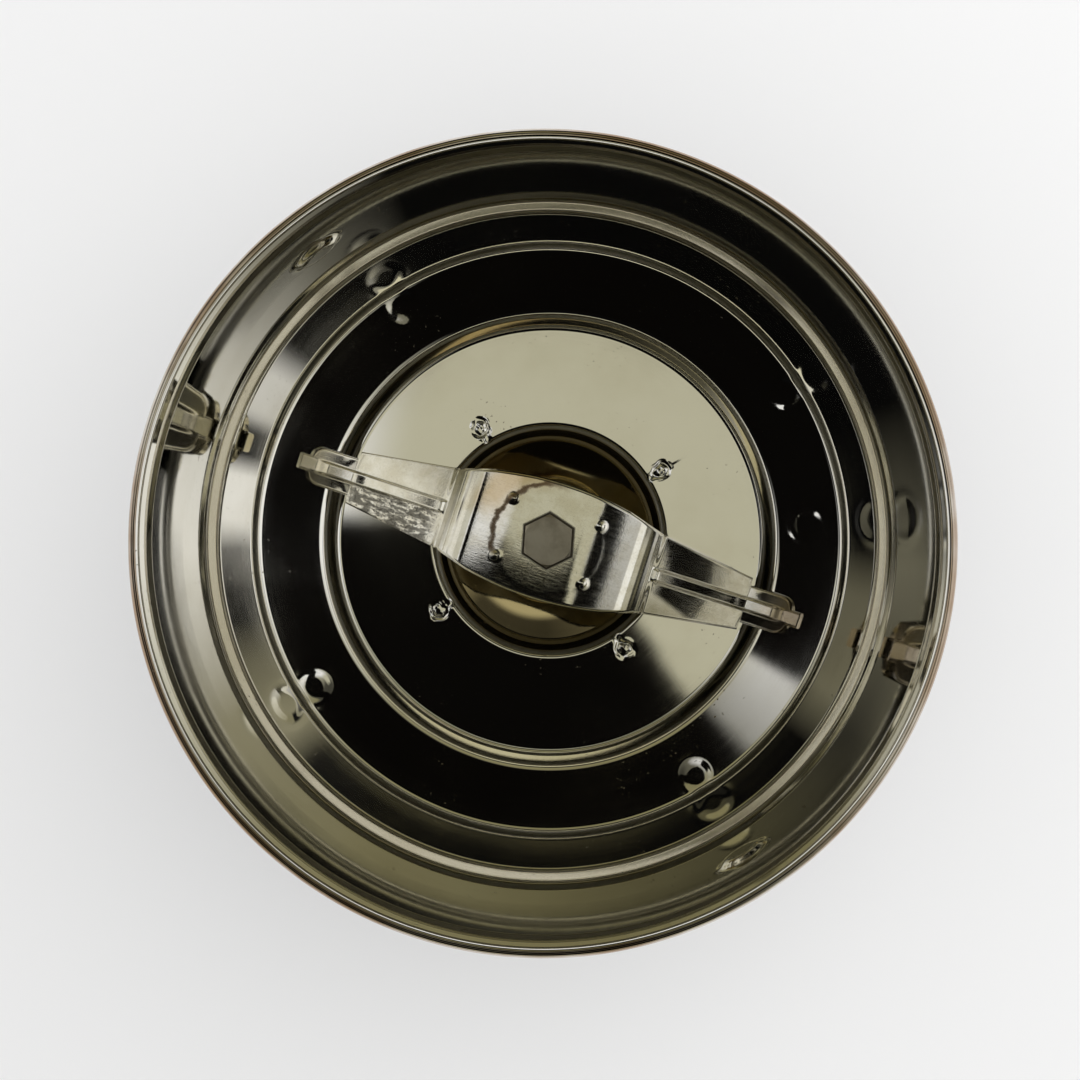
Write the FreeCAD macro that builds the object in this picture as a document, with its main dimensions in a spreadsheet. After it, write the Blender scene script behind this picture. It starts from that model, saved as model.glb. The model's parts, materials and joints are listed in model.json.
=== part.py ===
"""Mixer grinder jar: a deep-drawn steel jar with its cutter, shaft, bush housing,
drive coupler and moulded base. Millimetres, +Z up, origin on the shaft's axis at
the plane that the base rests on.
"""
import FreeCAD, Part
import math
import os
import Sketcher
from types import SimpleNamespace

Vector = FreeCAD.Vector
Rotation = FreeCAD.Rotation
UP = Vector(0, 0, 1)

doc = FreeCAD.newDocument("MixerGrinderJar")
sheet = doc.addObject("Spreadsheet::Sheet", "Sizes")


class Size:
    """A length, angle or count with its value and the sheet formula that gives it."""

    def __init__(self, value, formula):
        self.value = value
        self.formula = formula

    def __add__(self, other):
        other = as_size(other)
        return Size(self.value + other.value, f"({self.formula} + {other.formula})")

    def __sub__(self, other):
        other = as_size(other)
        return Size(self.value - other.value, f"({self.formula} - {other.formula})")

    def __mul__(self, other):
        other = as_size(other)
        return Size(self.value * other.value, f"({self.formula} * {other.formula})")

    def __truediv__(self, other):
        other = as_size(other)
        return Size(self.value / other.value, f"({self.formula} / {other.formula})")

    def __neg__(self):
        return Size(-self.value, f"(-{self.formula})")


def as_size(number):
    """A plain number becomes a Size that is its own formula."""
    return number if isinstance(number, Size) else Size(float(number), repr(float(number)))


DRIVING = [
    # The jar's sheet: radii of its inner face, depths below the rim, steps of its floor
    ("jar_depth", 74.0, "inner edge of the annular floor to the top of the rim"),
    ("sheet_gauge", 0.7, "thickness of the drawn steel"),
    ("lid_seat_radius", 58.4, "inside of the straight band that takes the lid"),
    ("lid_seat_depth", 5.6, "depth of that band"),
    ("hem_height", 4.2, "height of the rim's folded edge"),
    ("hem_gap", 0.2, "gap inside the fold"),
    ("rim_roundness", 0.48, "share of the rim's thickness in each of its roundings"),
    ("lid_seat_step", 0.6, "how far the upper wall steps in from that band"),
    ("seat_step_depth", 6.8, "depth at which the upper wall starts"),
    ("upper_draft", 1.5, "how far the upper wall closes in to its foot"),
    ("shoulder_depth", 42.0, "depth of the shoulder's upper edge"),
    ("shoulder_step", 2.0, "how far the shoulder steps in to the lower wall"),
    ("neck_depth", 44.5, "depth of the shoulder's lower edge"),
    ("lower_draft", 1.8, "how far the lower wall closes in to the bottom corner"),
    ("annulus_width", 12.1, "corner to the top edge of the step down to the flat floor"),
    ("annulus_rise", 3.0, "rise of the annular floor from its inner edge to the corner"),
    ("corner_bend", 1.5, "inside radius of the bottom corner"),
    ("floor_step_run", 1.7, "how far that step runs in"),
    ("floor_step", 3.5, "height of that step"),
    ("dish_radius", 20.7, "edge of the central dish"),
    ("dish_rim_radius", 18.9, "where the dish's rim bend ends"),
    ("dish_rim_drop", 1.4, "drop there below the flat floor"),
    ("dish_flat_radius", 12.0, "where the dish turns flat"),
    ("dish_drop", 3.7, "drop of the dish's flat middle below the flat floor"),
    ("dish_bend", 12.0, "bend between the dish's slope and its flat"),
    ("tight_bend", 1.2, "inside radius of the sheet's tight bends"),
    ("shoulder_bend", 2.0, "inside radius of the shoulder's bends"),
    # Marks pressed and welded into the sheet
    ("rim_boss_diameter", 9.4, "round bosses pressed inwards near the rim"),
    ("rim_boss_rise", 0.8, "how far they stand in"),
    ("rim_boss_depth", 21.0, "depth of their middle"),
    ("rim_boss_crown", 5.2, "flat crown of a rim boss"),
    ("rim_dent_width", 8.6, "mouth of the dent behind a rim boss"),
    ("rim_boss_angle_a", 128.0, "direction of the first"),
    ("rim_boss_angle_b", 302.5, "direction of the second"),
    ("base_boss_angle", 32.0, "direction of the first base boss and plate weld"),
    ("base_boss_count", 4, "base bosses and plate welds"),
    ("press_mark_diameter", 4.6, "press mark over each base boss"),
    ("press_mark_depth", 0.22, "depth of that mark"),
    ("press_mark_inset", 3.1, "corner to the circle of the press marks"),
    ("ring_mark_diameter", 7.4, "outside of the ring mark in the corner"),
    ("ring_mark_bore", 4.6, "inside of that ring"),
    ("ring_mark_depth", 0.12, "depth of the ring"),
    ("ring_mark_angle", 3.5, "direction of the ring mark"),
    ("ring_mark_inset", 6.1, "corner to the middle of the ring mark"),
    ("plate_weld_radius", 23.9, "circle of the plate's spot welds"),
    ("plate_weld_diameter", 3.4, "outside of a spot weld"),
    ("plate_weld_bore", 1.8, "crown left inside a spot weld"),
    ("plate_weld_depth", 0.16, "depth of a spot weld"),
    # Bearing plate, housing and nut
    ("plate_gauge", 1.0, "thickness of the bearing plate"),
    ("plate_radius", 28.5, "outside of the bearing plate"),
    ("dish_clearance", 0.3, "room between the dish's wall and the plate's cup"),
    ("housing_radius", 7.9, "barrel of the bush housing"),
    ("barrel_clearance", 0.1, "room around the barrel in its holes"),
    ("gasket_gauge", 0.8, "thickness of the housing gasket"),
    ("flange_radius", 9.9, "flange of the bush housing"),
    ("flange_gauge", 2.0, "thickness of that flange"),
    ("neck_foot_radius", 8.6, "foot of the housing's tapered neck"),
    ("neck_top_radius", 7.3, "top of the housing's neck"),
    ("barrel_end", 7.3, "length of the barrel below the nut"),
    ("washer_gauge", 1.0, "thickness of the nut washer"),
    ("washer_radius", 13.0, "outside of the nut washer"),
    ("nut_flats", 22.0, "across flats of the housing nut"),
    ("nut_gauge", 4.6, "height of the housing nut"),
    ("nut_chamfer", 0.8, "chamfer on the nut's corners"),
    # Bushes and seal
    ("bush_radius", 5.4, "outside of the bushes"),
    ("oil_chamber", 5.65, "room between the two bushes"),
    ("bush_clearance", 0.05, "radial room of the shaft in the bushes"),
    ("bush_chamfer", 0.4, "chamfer on the bushes' ends"),
    ("oil_groove_radius", 3.6, "oil groove inside each bush"),
    ("oil_groove_width", 1.6, "width of that groove"),
    ("seal_radius", 6.2, "outside of the oil seal"),
    ("seal_height", 3.2, "height of the oil seal"),
    ("seal_lip_width", 0.9, "width of the seal's lip"),
    # Shaft and cutter
    ("shaft_radius", 3.0, "radius of the shaft"),
    ("thread_radius", 2.5, "radius of the shaft's threaded end"),
    ("thread_length", 9.65, "length of the shaft's threaded end"),
    ("hex_flats", 8.0, "across flats of the shaft's head"),
    ("hex_gauge", 3.3, "height of the head"),
    ("hex_chamfer", 0.5, "chamfer on the head's corners"),
    ("hex_angle", 26.0, "direction of a corner of the head"),
    ("blade_gauge", 1.5, "thickness of the cutter"),
    ("blade_angle", 162.1, "direction of the cutter's first arm"),
    ("blade_rise", 16.0, "cutter's flat middle above the flat floor"),
    ("blade_mid_width", 25.4, "width where the bowed sides would cross"),
    ("blade_bow", 60.0, "radius of the bowed sides"),
    ("hub_half_length", 12.4, "middle to the bend of the plate's end"),
    ("hub_bend", 16.0, "radius of that bend"),
    ("root_half_length", 18.7, "middle to the root of an arm"),
    ("root_width", 14.6, "width at the root"),
    ("root_drop", 2.6, "drop of the root below the middle"),
    ("root_bend", 1.6, "bend radius at the root"),
    ("tip_length", 7.8, "outer bend to the end of an arm"),
    ("elbow_width", 9.6, "width at the outer bend"),
    ("elbow_drop", 7.2, "drop of the outer bend"),
    ("elbow_bend", 3.0, "bend radius there"),
    ("tip_play", 6.2, "room between the cutter and the bottom corner"),
    ("tip_width", 5.6, "width at that end"),
    ("tip_drop", 7.9, "drop of the tip"),
    ("tip_corner", 1.2, "rounding of the tip's corners"),
    ("nub_length", 1.9, "short tongue on the tip"),
    ("nub_width", 2.4, "width of the tongue"),
    ("rib_width", 2.0, "width of the rib pressed along an arm"),
    ("rib_rise", 0.55, "rise of that rib"),
    ("rib_end_gap", 1.6, "plain length left at the tip"),
    ("channel_width", 1.2, "width of the channel under that rib"),
    ("weld_nub_angle", 33.0, "projection weld's direction from the arms"),
    ("weld_nub_circle", 9.6, "circle of the projection welds"),
    ("weld_nub_radius", 0.85, "radius of a projection weld"),
    ("weld_nub_rise", 0.25, "rise of a projection weld"),
    ("seat_radius", 9.4, "outside of the blade seat"),
    ("seat_gauge", 1.2, "thickness of the blade seat"),
    ("seat_neck_radius", 5.6, "neck under the blade seat"),
    ("running_gap", 0.15, "axial room between turning and still faces"),
    ("top_washer_radius", 6.6, "outside of the top thrust washer"),
    ("top_washer_gauge", 1.0, "thickness of that washer"),
    ("bottom_washer_radius", 6.4, "outside of the bottom thrust washer"),
    ("bottom_washer_gauge", 1.2, "thickness of that washer"),
    # Drive coupler
    ("insert_flats", 12.0, "across flats of the coupler insert"),
    ("insert_height", 8.2, "height of the insert"),
    ("insert_stand", 0.8, "how far it stands above the coupler"),
    ("coupler_bottom", 2.0, "room under the coupler's lower face"),
    ("coupler_height", 10.05, "height of the coupler"),
    ("coupler_core_radius", 10.6, "core of the coupler"),
    ("tooth_root", 2.1, "how far a tooth starts inside the core"),
    ("shaft_recess_radius", 4.8, "recess under the shaft's end"),
    ("coupler_radius", 15.0, "reach of the coupler's teeth"),
    ("tooth_count", 6, "teeth of the coupler"),
    ("tooth_width", 5.4, "width of a tooth"),
    ("tooth_corner", 0.8, "rounding of a tooth"),
    # Moulded base
    ("skirt_flare", 3.8, "how far the foot stands out from the waist"),
    ("skirt_gauge", 2.6, "wall of the base"),
    ("skirt_band_height", 11.0, "height of the straight band at the foot"),
    ("collar_wall", 3.2, "wall of the collar beside the deck"),
    ("collar_top_wall", 2.6, "wall of the collar at its top edge"),
    ("collar_height", 12.0, "top edge of the collar above the deck"),
    ("skirt_bend", 6.0, "rounding between the base's outer faces"),
    ("skirt_edge", 0.8, "rounding of the base's edges"),
    ("skirt_play", 0.8, "room between the base and the jar's lower wall"),
    ("deck_gauge", 2.5, "thickness of the deck"),
    ("deck_clearance", 0.9, "room around the recessed floor in the deck"),
    ("rib_count", 12, "stiffening ribs under the deck"),
    ("skirt_rib_gauge", 1.6, "thickness of a stiffening rib"),
    ("skirt_rib_drop", 9.0, "height of a stiffening rib"),
    ("skirt_rib_length", 11.0, "radial length of a stiffening rib"),
    ("lug_count", 3, "bayonet lugs inside the foot"),
    ("lug_arc", 24.0, "angle that a lug covers"),
    ("lug_reach", 3.0, "how far a lug stands in"),
    ("lug_gauge", 3.4, "height of a lug"),
    ("lug_bottom", 3.0, "height of a lug's lower face"),
    ("cushion_play", 0.3, "room between the base gasket and the deck's bore"),
    ("cushion_width", 2.3, "radial width of the base gasket"),
    ("cushion_gauge", 5.3, "deck to the annular floor's inner edge"),
    # Base bosses and screws
    ("boss_inset", 3.9, "corner to the circle of the base bosses"),
    ("boss_radius", 3.8, "radius of a base boss"),
    ("screw_radius", 2.0, "shank of a base screw"),
    ("screw_depth", 4.4, "how far a screw goes into its boss"),
    ("screw_hole_clearance", 0.2, "room around the shank in the deck"),
    ("screw_head_radius", 3.6, "head of a base screw"),
    ("screw_head_gauge", 2.4, "height of that head"),
    ("recess_width", 1.0, "width of the cross recess"),
    ("recess_length", 3.8, "length of the cross recess"),
    ("recess_depth", 1.2, "depth of the cross recess"),
]

for row, (alias, number, note) in enumerate(DRIVING, start=1):
    sheet.set(f"A{row}", note)
    sheet.set(f"B{row}", str(number))
    sheet.setAlias(f"B{row}", alias)
doc.recompute()
size = SimpleNamespace(**{alias: Size(float(number), f"Sizes.{alias}") for alias, number, _ in DRIVING})
ROOT_3 = Size(math.sqrt(3.0), "sqrt(3)")


# Helpers for sketches, features and bodies

def bind(item, prop, value):
    """Tie a property of an object to the sheet."""
    item.setExpression(prop, as_size(value).formula)


def new_body(label):
    """A body for one sub-part; its label names the file."""
    item = doc.addObject("PartDesign::Body", label)
    item.Label = label
    return item


def datum(body, role):
    """One of the body's own origin planes or axes."""
    return next(item for item in body.Origin.OriginFeatures if item.Role == role)


def new_sketch(body, name, plane, level=None):
    """A sketch on an origin plane, lifted along the plane's normal by level."""
    sketch = body.newObject("Sketcher::SketchObject", name)
    sketch.AttachmentSupport = [(datum(body, plane), "")]
    sketch.MapMode = "FlatFace"
    if level is not None:
        bind(sketch, "AttachmentOffset.Base.z", level)
    return sketch


def add_dimensions(sketch, dimensions):
    """Add constraints, each with the Size that drives it or None."""
    first = len(sketch.Constraints)
    sketch.addConstraint([constraint for constraint, _ in dimensions])
    for number, (_, driver) in enumerate(dimensions, start=first):
        if isinstance(driver, Size):
            sketch.setExpression(f"Constraints[{number}]", driver.formula)


def pin_point(geometry, point, x, y):
    """Constraints that place a point; a coordinate of zero puts it on the axis."""
    found = []
    for kind, coordinate, axis in (("DistanceX", x, -2), ("DistanceY", y, -1)):
        coordinate = as_size(coordinate)
        if coordinate.formula == "0.0":
            found.append((Sketcher.Constraint("PointOnObject", geometry, point, axis), None))
        else:
            pin = Sketcher.Constraint(kind, -1, 1, geometry, point, coordinate.value)
            found.append((pin, coordinate))
    return found


def corner_arc(before, corner, after, radius):
    """Tangent points, centre and turn of the arc that rounds a corner."""
    into = (corner - before).normalize()
    out = (after - corner).normalize()
    turn = math.atan2(into.x * out.y - into.y * out.x, into.dot(out))
    reach = radius * math.tan(abs(turn) / 2)
    start = corner - into * reach
    side = math.copysign(1.0, turn)
    centre = start + Vector(-into.y, into.x, 0) * radius * side
    return start, corner + out * reach, centre, side


def draw_outline(sketch, corners):
    """A closed outline through corners (x, y) or (x, y, rounding)."""
    places = [Vector(as_size(c[0]).value, as_size(c[1]).value, 0) for c in corners]
    total = len(corners)
    rounds = [
        corner_arc(places[k - 1], places[k], places[(k + 1) % total], as_size(c[2]).value)
        if len(c) > 2 else None
        for k, c in enumerate(corners)
    ]
    dimensions = []
    lines = []
    for k in range(total):
        following = (k + 1) % total
        start = rounds[k][1] if rounds[k] else places[k]
        end = rounds[following][0] if rounds[following] else places[following]
        lines.append(sketch.addGeometry(Part.LineSegment(start, end), False))
    for k, corner in enumerate(corners):
        into, out = lines[k - 1], lines[k]
        if rounds[k] is None:
            dimensions.append((Sketcher.Constraint("Coincident", into, 2, out, 1), None))
            dimensions += pin_point(out, 1, corner[0], corner[1])
            continue
        start, end, centre, side = rounds[k]
        radius = as_size(corner[2])
        first, last = (start, end) if side > 0 else (end, start)
        angles = [math.atan2(p.y - centre.y, p.x - centre.x) for p in (first, last)]
        circle = Part.Circle(centre, UP, radius.value)
        arc = sketch.addGeometry(Part.ArcOfCircle(circle, angles[0], angles[1]), False)
        near, far = (1, 2) if side > 0 else (2, 1)
        vertex = sketch.addGeometry(Part.Point(places[k]), True)
        dimensions += pin_point(vertex, 1, corner[0], corner[1])
        dimensions += [
            (Sketcher.Constraint("PointOnObject", vertex, 1, into), None),
            (Sketcher.Constraint("PointOnObject", vertex, 1, out), None),
            (Sketcher.Constraint("Tangent", into, 2, arc, near), None),
            (Sketcher.Constraint("Tangent", arc, far, out, 1), None),
            (Sketcher.Constraint("Radius", arc, radius.value), radius),
        ]
    add_dimensions(sketch, dimensions)


def draw_circle(sketch, x, y, radius):
    """A circle in a sketch."""
    radius = as_size(radius)
    middle = Vector(as_size(x).value, as_size(y).value, 0)
    circle = sketch.addGeometry(Part.Circle(middle, UP, radius.value), False)
    pins = pin_point(circle, 3, x, y)
    add_dimensions(sketch, pins + [(Sketcher.Constraint("Radius", circle, radius.value), radius)])


def hexagon(flats):
    """Corners of a hexagon with one corner on the x axis."""
    reach = flats / ROOT_3
    return [(reach, 0), (reach / 2, flats / 2), (-reach / 2, flats / 2),
            (-reach, 0), (-reach / 2, -flats / 2), (reach / 2, -flats / 2)]


def cross(length, width):
    """Corners of a plus sign."""
    far, near = length / 2, width / 2
    return [(far, -near), (far, near), (near, near), (near, far), (-near, far), (-near, near),
            (-far, near), (-far, -near), (-near, -near), (-near, -far), (near, -far), (near, -near)]


def turn_profile(body, name, corners, kind="Revolution", angle=360):
    """Turn an outline in the XZ plane about the vertical axis."""
    sketch = new_sketch(body, name + "_section", "XZ_Plane")
    draw_outline(sketch, corners)
    feature = body.newObject("PartDesign::" + kind, name)
    feature.Profile = sketch
    feature.ReferenceAxis = (sketch, ["V_Axis"])
    bind(feature, "Angle", angle)
    feature.Midplane = as_size(angle).value < 360
    return feature


def push_profile(body, name, draw, level, length, kind="Pad", downwards=False):
    """Pad or pocket what draw puts in a sketch at a height."""
    sketch = new_sketch(body, name + "_outline", "XY_Plane", level)
    draw(sketch)
    feature = body.newObject("PartDesign::" + kind, name)
    feature.Profile = sketch
    bind(feature, "Length", length)
    feature.Reversed = downwards if kind == "Pad" else not downwards
    return feature


def repeat_around(body, name, feature, count):
    """Copies of a feature, evenly spaced around the vertical axis."""
    pattern = body.newObject("PartDesign::PolarPattern", name)
    pattern.Originals = [feature]
    pattern.Axis = (datum(body, "Z_Axis"), [""])
    pattern.Angle = 360
    bind(pattern, "Occurrences", count)
    body.Tip = pattern
    return pattern


def mark_sheet(body, name, direction, radius, height, slope, section, kind):
    """Turn a small section about the sheet's normal at a point of the jar's inner face."""
    sketch = body.newObject("Sketcher::SketchObject", name + "_section")
    sketch.AttachmentSupport = [(datum(body, "XZ_Plane"), "")]
    sketch.MapMode = "FlatFace"
    around = Rotation(Vector(0, 1, 0), direction)
    lean = Rotation(UP, slope)
    place = around.multVec(Vector(radius, height, 0))
    sketch.AttachmentOffset = FreeCAD.Placement(place, around.multiply(lean))
    draw_outline(sketch, section)
    feature = body.newObject("PartDesign::" + kind, name)
    feature.Profile = sketch
    feature.ReferenceAxis = (sketch, ["V_Axis"])
    feature.Angle = 360
    return feature


# Heights from the foot upwards: the drive, the stack clamped to the floor, the floor, the rim
COUPLER_TOP = size.coupler_bottom + size.coupler_height
COUPLER_SEAT = COUPLER_TOP + size.insert_stand
BOTTOM_WASHER_TOP = COUPLER_SEAT + size.bottom_washer_gauge
HOUSING_BOTTOM = BOTTOM_WASHER_TOP + size.running_gap
NUT_BOTTOM = HOUSING_BOTTOM + size.barrel_end
NUT_TOP = NUT_BOTTOM + size.nut_gauge
PLATE_BOTTOM = NUT_TOP + size.washer_gauge
DISH_UNDERSIDE = PLATE_BOTTOM + size.plate_gauge
DISH_TOP = DISH_UNDERSIDE + size.sheet_gauge
FLOOR = DISH_TOP + size.dish_drop
FLOOR_UNDERSIDE = FLOOR - size.sheet_gauge
ANNULUS = FLOOR + size.floor_step
ANNULUS_UNDERSIDE = ANNULUS - size.sheet_gauge
DECK_TOP = ANNULUS_UNDERSIDE - size.cushion_gauge
DECK_BOTTOM = DECK_TOP - size.deck_gauge
CORNER = ANNULUS + size.annulus_rise
RIM = ANNULUS + size.jar_depth

# Heights of the cutter's stack, above the floor
FLANGE_BOTTOM = DISH_TOP + size.gasket_gauge
FLANGE_TOP = FLANGE_BOTTOM + size.flange_gauge
BLADE_TOP = FLOOR + size.blade_rise
BLADE_BOTTOM = BLADE_TOP - size.blade_gauge
SEAT_BOTTOM = BLADE_BOTTOM - size.seat_gauge
TOP_WASHER_TOP = SEAT_BOTTOM - size.seat_gauge
HOUSING_TOP = TOP_WASHER_TOP - size.top_washer_gauge - size.running_gap

# Radii of the jar's inner face from the lid's seat inwards
UPPER_WALL_RADIUS = size.lid_seat_radius - size.lid_seat_step
SHOULDER_RADIUS = UPPER_WALL_RADIUS - size.upper_draft
NECK_RADIUS = SHOULDER_RADIUS - size.shoulder_step
CORNER_RADIUS = NECK_RADIUS - size.lower_draft
RECESS_RADIUS = CORNER_RADIUS - size.annulus_width
FLOOR_RADIUS = RECESS_RADIUS - size.floor_step_run

# Radii and slopes that several pieces share
BOSS_CIRCLE = CORNER_RADIUS - size.boss_inset
TIP_REACH = CORNER_RADIUS - size.tip_play - size.nub_length
ELBOW_REACH = TIP_REACH - size.tip_length
CORNER_OUTSIDE = CORNER_RADIUS + size.sheet_gauge
RECESS_OUTSIDE = RECESS_RADIUS + size.sheet_gauge
ANNULUS_SLOPE = size.annulus_rise / (CORNER_RADIUS - RECESS_RADIUS)
BARREL_HOLE = size.housing_radius + size.barrel_clearance
BUSH_BORE = size.shaft_radius + size.bush_clearance
DECK_BORE = RECESS_OUTSIDE + size.deck_clearance
COLLAR_INSIDE = CORNER_OUTSIDE + size.skirt_play
WAIST_RADIUS = COLLAR_INSIDE + size.collar_wall
SKIRT_RADIUS = WAIST_RADIUS + size.skirt_flare
TIP_SLOPE = (size.tip_drop - size.elbow_drop) / (TIP_REACH - ELBOW_REACH)


def level_at(depth):
    """Height of a depth below the rim."""
    return RIM - depth


def under_annulus(radius):
    """Height of the annular floor's underside at a radius."""
    return ANNULUS_UNDERSIDE + (radius - RECESS_OUTSIDE) * ANNULUS_SLOPE


def make_jar_body():
    """The drawn jar: one sheet from the folded rim to the hole in the dish."""
    body = new_body("jar_body")
    gauge = size.sheet_gauge
    outer_bend = size.tight_bend + gauge
    rim_outside = size.lid_seat_radius + gauge + gauge + size.hem_gap
    rim_round = (gauge + gauge + size.hem_gap) * size.rim_roundness
    seat_foot = level_at(size.lid_seat_depth)
    step_foot = level_at(size.seat_step_depth)
    shoulder_top = level_at(size.shoulder_depth)
    shoulder_foot = level_at(size.neck_depth)
    dish_rim = FLOOR - size.dish_rim_drop
    shoulder_outer = size.shoulder_bend + gauge
    inside = [
        (size.lid_seat_radius, RIM, rim_round),
        (size.lid_seat_radius, seat_foot),
        (UPPER_WALL_RADIUS, step_foot),
        (SHOULDER_RADIUS, shoulder_top, size.shoulder_bend),
        (NECK_RADIUS, shoulder_foot, shoulder_outer),
        (CORNER_RADIUS, CORNER, size.corner_bend),
        (RECESS_RADIUS, ANNULUS, outer_bend),
        (FLOOR_RADIUS, FLOOR, size.tight_bend),
        (size.dish_radius, FLOOR, outer_bend),
        (size.dish_rim_radius, dish_rim),
        (size.dish_flat_radius, DISH_TOP, size.dish_bend),
        (BARREL_HOLE, DISH_TOP),
    ]
    outside = [
        (BARREL_HOLE, DISH_UNDERSIDE),
        (size.dish_flat_radius, DISH_UNDERSIDE, size.dish_bend + gauge),
        (size.dish_rim_radius, dish_rim - gauge),
        (size.dish_radius + gauge, FLOOR_UNDERSIDE, size.tight_bend),
        (FLOOR_RADIUS + gauge, FLOOR_UNDERSIDE, outer_bend),
        (RECESS_OUTSIDE, ANNULUS_UNDERSIDE, size.tight_bend),
        (CORNER_OUTSIDE, CORNER - gauge, size.corner_bend + gauge),
        (NECK_RADIUS + gauge, shoulder_foot - gauge / 2, size.shoulder_bend),
        (SHOULDER_RADIUS + gauge, shoulder_top - gauge / 2, shoulder_outer),
        (UPPER_WALL_RADIUS + gauge, step_foot - gauge / 2),
        (size.lid_seat_radius + gauge, seat_foot - gauge / 2),
        (size.lid_seat_radius + gauge, RIM - size.hem_height),
        (rim_outside, RIM - size.hem_height),
        (rim_outside, RIM, rim_round),
    ]
    turn_profile(body, "drawn_sheet", inside + outside)

    # Round bosses pressed inwards near the rim: a cone inside and its dent outside
    taper = (size.rim_boss_depth - size.seat_step_depth) / (size.shoulder_depth - size.seat_step_depth)
    boss_wall = UPPER_WALL_RADIUS - (UPPER_WALL_RADIUS - SHOULDER_RADIUS) * taper
    half = size.rim_boss_diameter / 2
    rise = size.rim_boss_rise
    for letter, direction in (("a", size.rim_boss_angle_a), ("b", size.rim_boss_angle_b)):
        height = level_at(size.rim_boss_depth).value
        crown = [(0, rise), (size.rim_boss_crown / 2, rise), (half, 0), (half, -gauge / 2), (0, -gauge / 2)]
        mark_sheet(body, f"rim_boss_{letter}", direction.value, boss_wall.value, height, 90.0,
                   crown, "Revolution")
        dent_foot = -gauge - gauge / 2
        dent = [(0, rise - gauge), (size.rim_boss_crown / 2 - gauge / 2, rise - gauge),
                (size.rim_dent_width / 2, dent_foot), (0, dent_foot)]
        mark_sheet(body, f"rim_dent_{letter}", direction.value, boss_wall.value, height, 90.0,
                   dent, "Groove")

    # Press marks over the base bosses, and the ring mark, on the sloping annular floor
    slope = math.degrees(math.atan(ANNULUS_SLOPE.value))

    def height_on_annulus(radius):
        return (ANNULUS + (radius - RECESS_RADIUS) * ANNULUS_SLOPE).value

    over = size.press_mark_depth + gauge * 2
    press = [(0, -size.press_mark_depth), (size.press_mark_diameter / 2, -size.press_mark_depth),
             (size.press_mark_diameter / 2, over), (0, over)]
    circle = CORNER_RADIUS - size.press_mark_inset
    mark = mark_sheet(body, "press_mark", size.base_boss_angle.value, circle.value,
                      height_on_annulus(circle), slope, press, "Groove")
    repeat_around(body, "press_marks", mark, size.base_boss_count)
    ring = [(size.ring_mark_bore / 2, -size.ring_mark_depth),
            (size.ring_mark_diameter / 2, -size.ring_mark_depth),
            (size.ring_mark_diameter / 2, over), (size.ring_mark_bore / 2, over)]
    circle = CORNER_RADIUS - size.ring_mark_inset
    mark_sheet(body, "ring_mark", size.ring_mark_angle.value, circle.value,
               height_on_annulus(circle), slope, ring, "Groove")

    # Spot welds of the bearing plate, beside the dish
    weld = [(size.plate_weld_bore / 2, -size.plate_weld_depth),
            (size.plate_weld_diameter / 2, -size.plate_weld_depth),
            (size.plate_weld_diameter / 2, gauge), (size.plate_weld_bore / 2, gauge)]
    spot = mark_sheet(body, "spot_weld", size.base_boss_angle.value, size.plate_weld_radius.value,
                      FLOOR.value, 0.0, weld, "Groove")
    repeat_around(body, "spot_welds", spot, size.base_boss_count)
    return body


def make_bearing_plate():
    """Pressed plate under the dish: a flat flange on the floor and a cup around the dish."""
    body = new_body("bearing_plate")
    cup = size.dish_radius + size.sheet_gauge + size.dish_clearance
    gauge = size.plate_gauge
    turn_profile(body, "pressed_plate", [
        (size.plate_radius, FLOOR_UNDERSIDE),
        (cup, FLOOR_UNDERSIDE, size.tight_bend + gauge),
        (cup, DISH_UNDERSIDE, size.tight_bend),
        (BARREL_HOLE, DISH_UNDERSIDE),
        (BARREL_HOLE, PLATE_BOTTOM),
        (cup + gauge, PLATE_BOTTOM, size.tight_bend + gauge),
        (cup + gauge, FLOOR_UNDERSIDE - gauge, size.tight_bend),
        (size.plate_radius, FLOOR_UNDERSIDE - gauge),
    ])
    return body


def make_bush_housing():
    """Turned housing: flange in the dish, tapered neck above, barrel below."""
    body = new_body("bush_housing")
    ledge = HOUSING_TOP - size.seal_height
    edge = size.bush_chamfer
    turn_profile(body, "turned_housing", [
        (size.neck_top_radius, HOUSING_TOP, edge),
        (size.neck_foot_radius, FLANGE_TOP, size.tight_bend),
        (size.flange_radius, FLANGE_TOP, edge),
        (size.flange_radius, FLANGE_BOTTOM),
        (size.housing_radius, FLANGE_BOTTOM),
        (size.housing_radius, HOUSING_BOTTOM, edge),
        (size.bush_radius, HOUSING_BOTTOM),
        (size.bush_radius, ledge),
        (size.seal_radius, ledge),
        (size.seal_radius, HOUSING_TOP),
    ])
    return body


def make_ring(label, inner, outer, bottom, top, edge=None):
    """A plain ring such as a washer or gasket, its outer edges rounded if edge is given."""
    body = new_body(label)
    rim = [(outer, bottom), (outer, top)] if edge is None else [(outer, bottom, edge), (outer, top, edge)]
    turn_profile(body, label + "_ring", [(inner, bottom)] + rim + [(inner, top)])
    return body


def make_housing_nut():
    """Hexagonal nut that clamps the housing, its lower corners chamfered."""
    body = new_body("housing_nut")
    def outline(sketch):
        draw_outline(sketch, hexagon(size.nut_flats))
        draw_circle(sketch, 0, 0, BARREL_HOLE)

    push_profile(body, "nut_blank", outline, NUT_BOTTOM, size.nut_gauge)
    reach = size.nut_flats / ROOT_3 + size.nut_chamfer
    turn_profile(body, "nut_chamfers", [
        (size.nut_flats / 2, NUT_BOTTOM - size.nut_chamfer / 4),
        (reach, NUT_BOTTOM - size.nut_chamfer / 4),
        (reach, NUT_BOTTOM + size.nut_chamfer * 2),
    ], "Groove")
    return body


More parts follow.
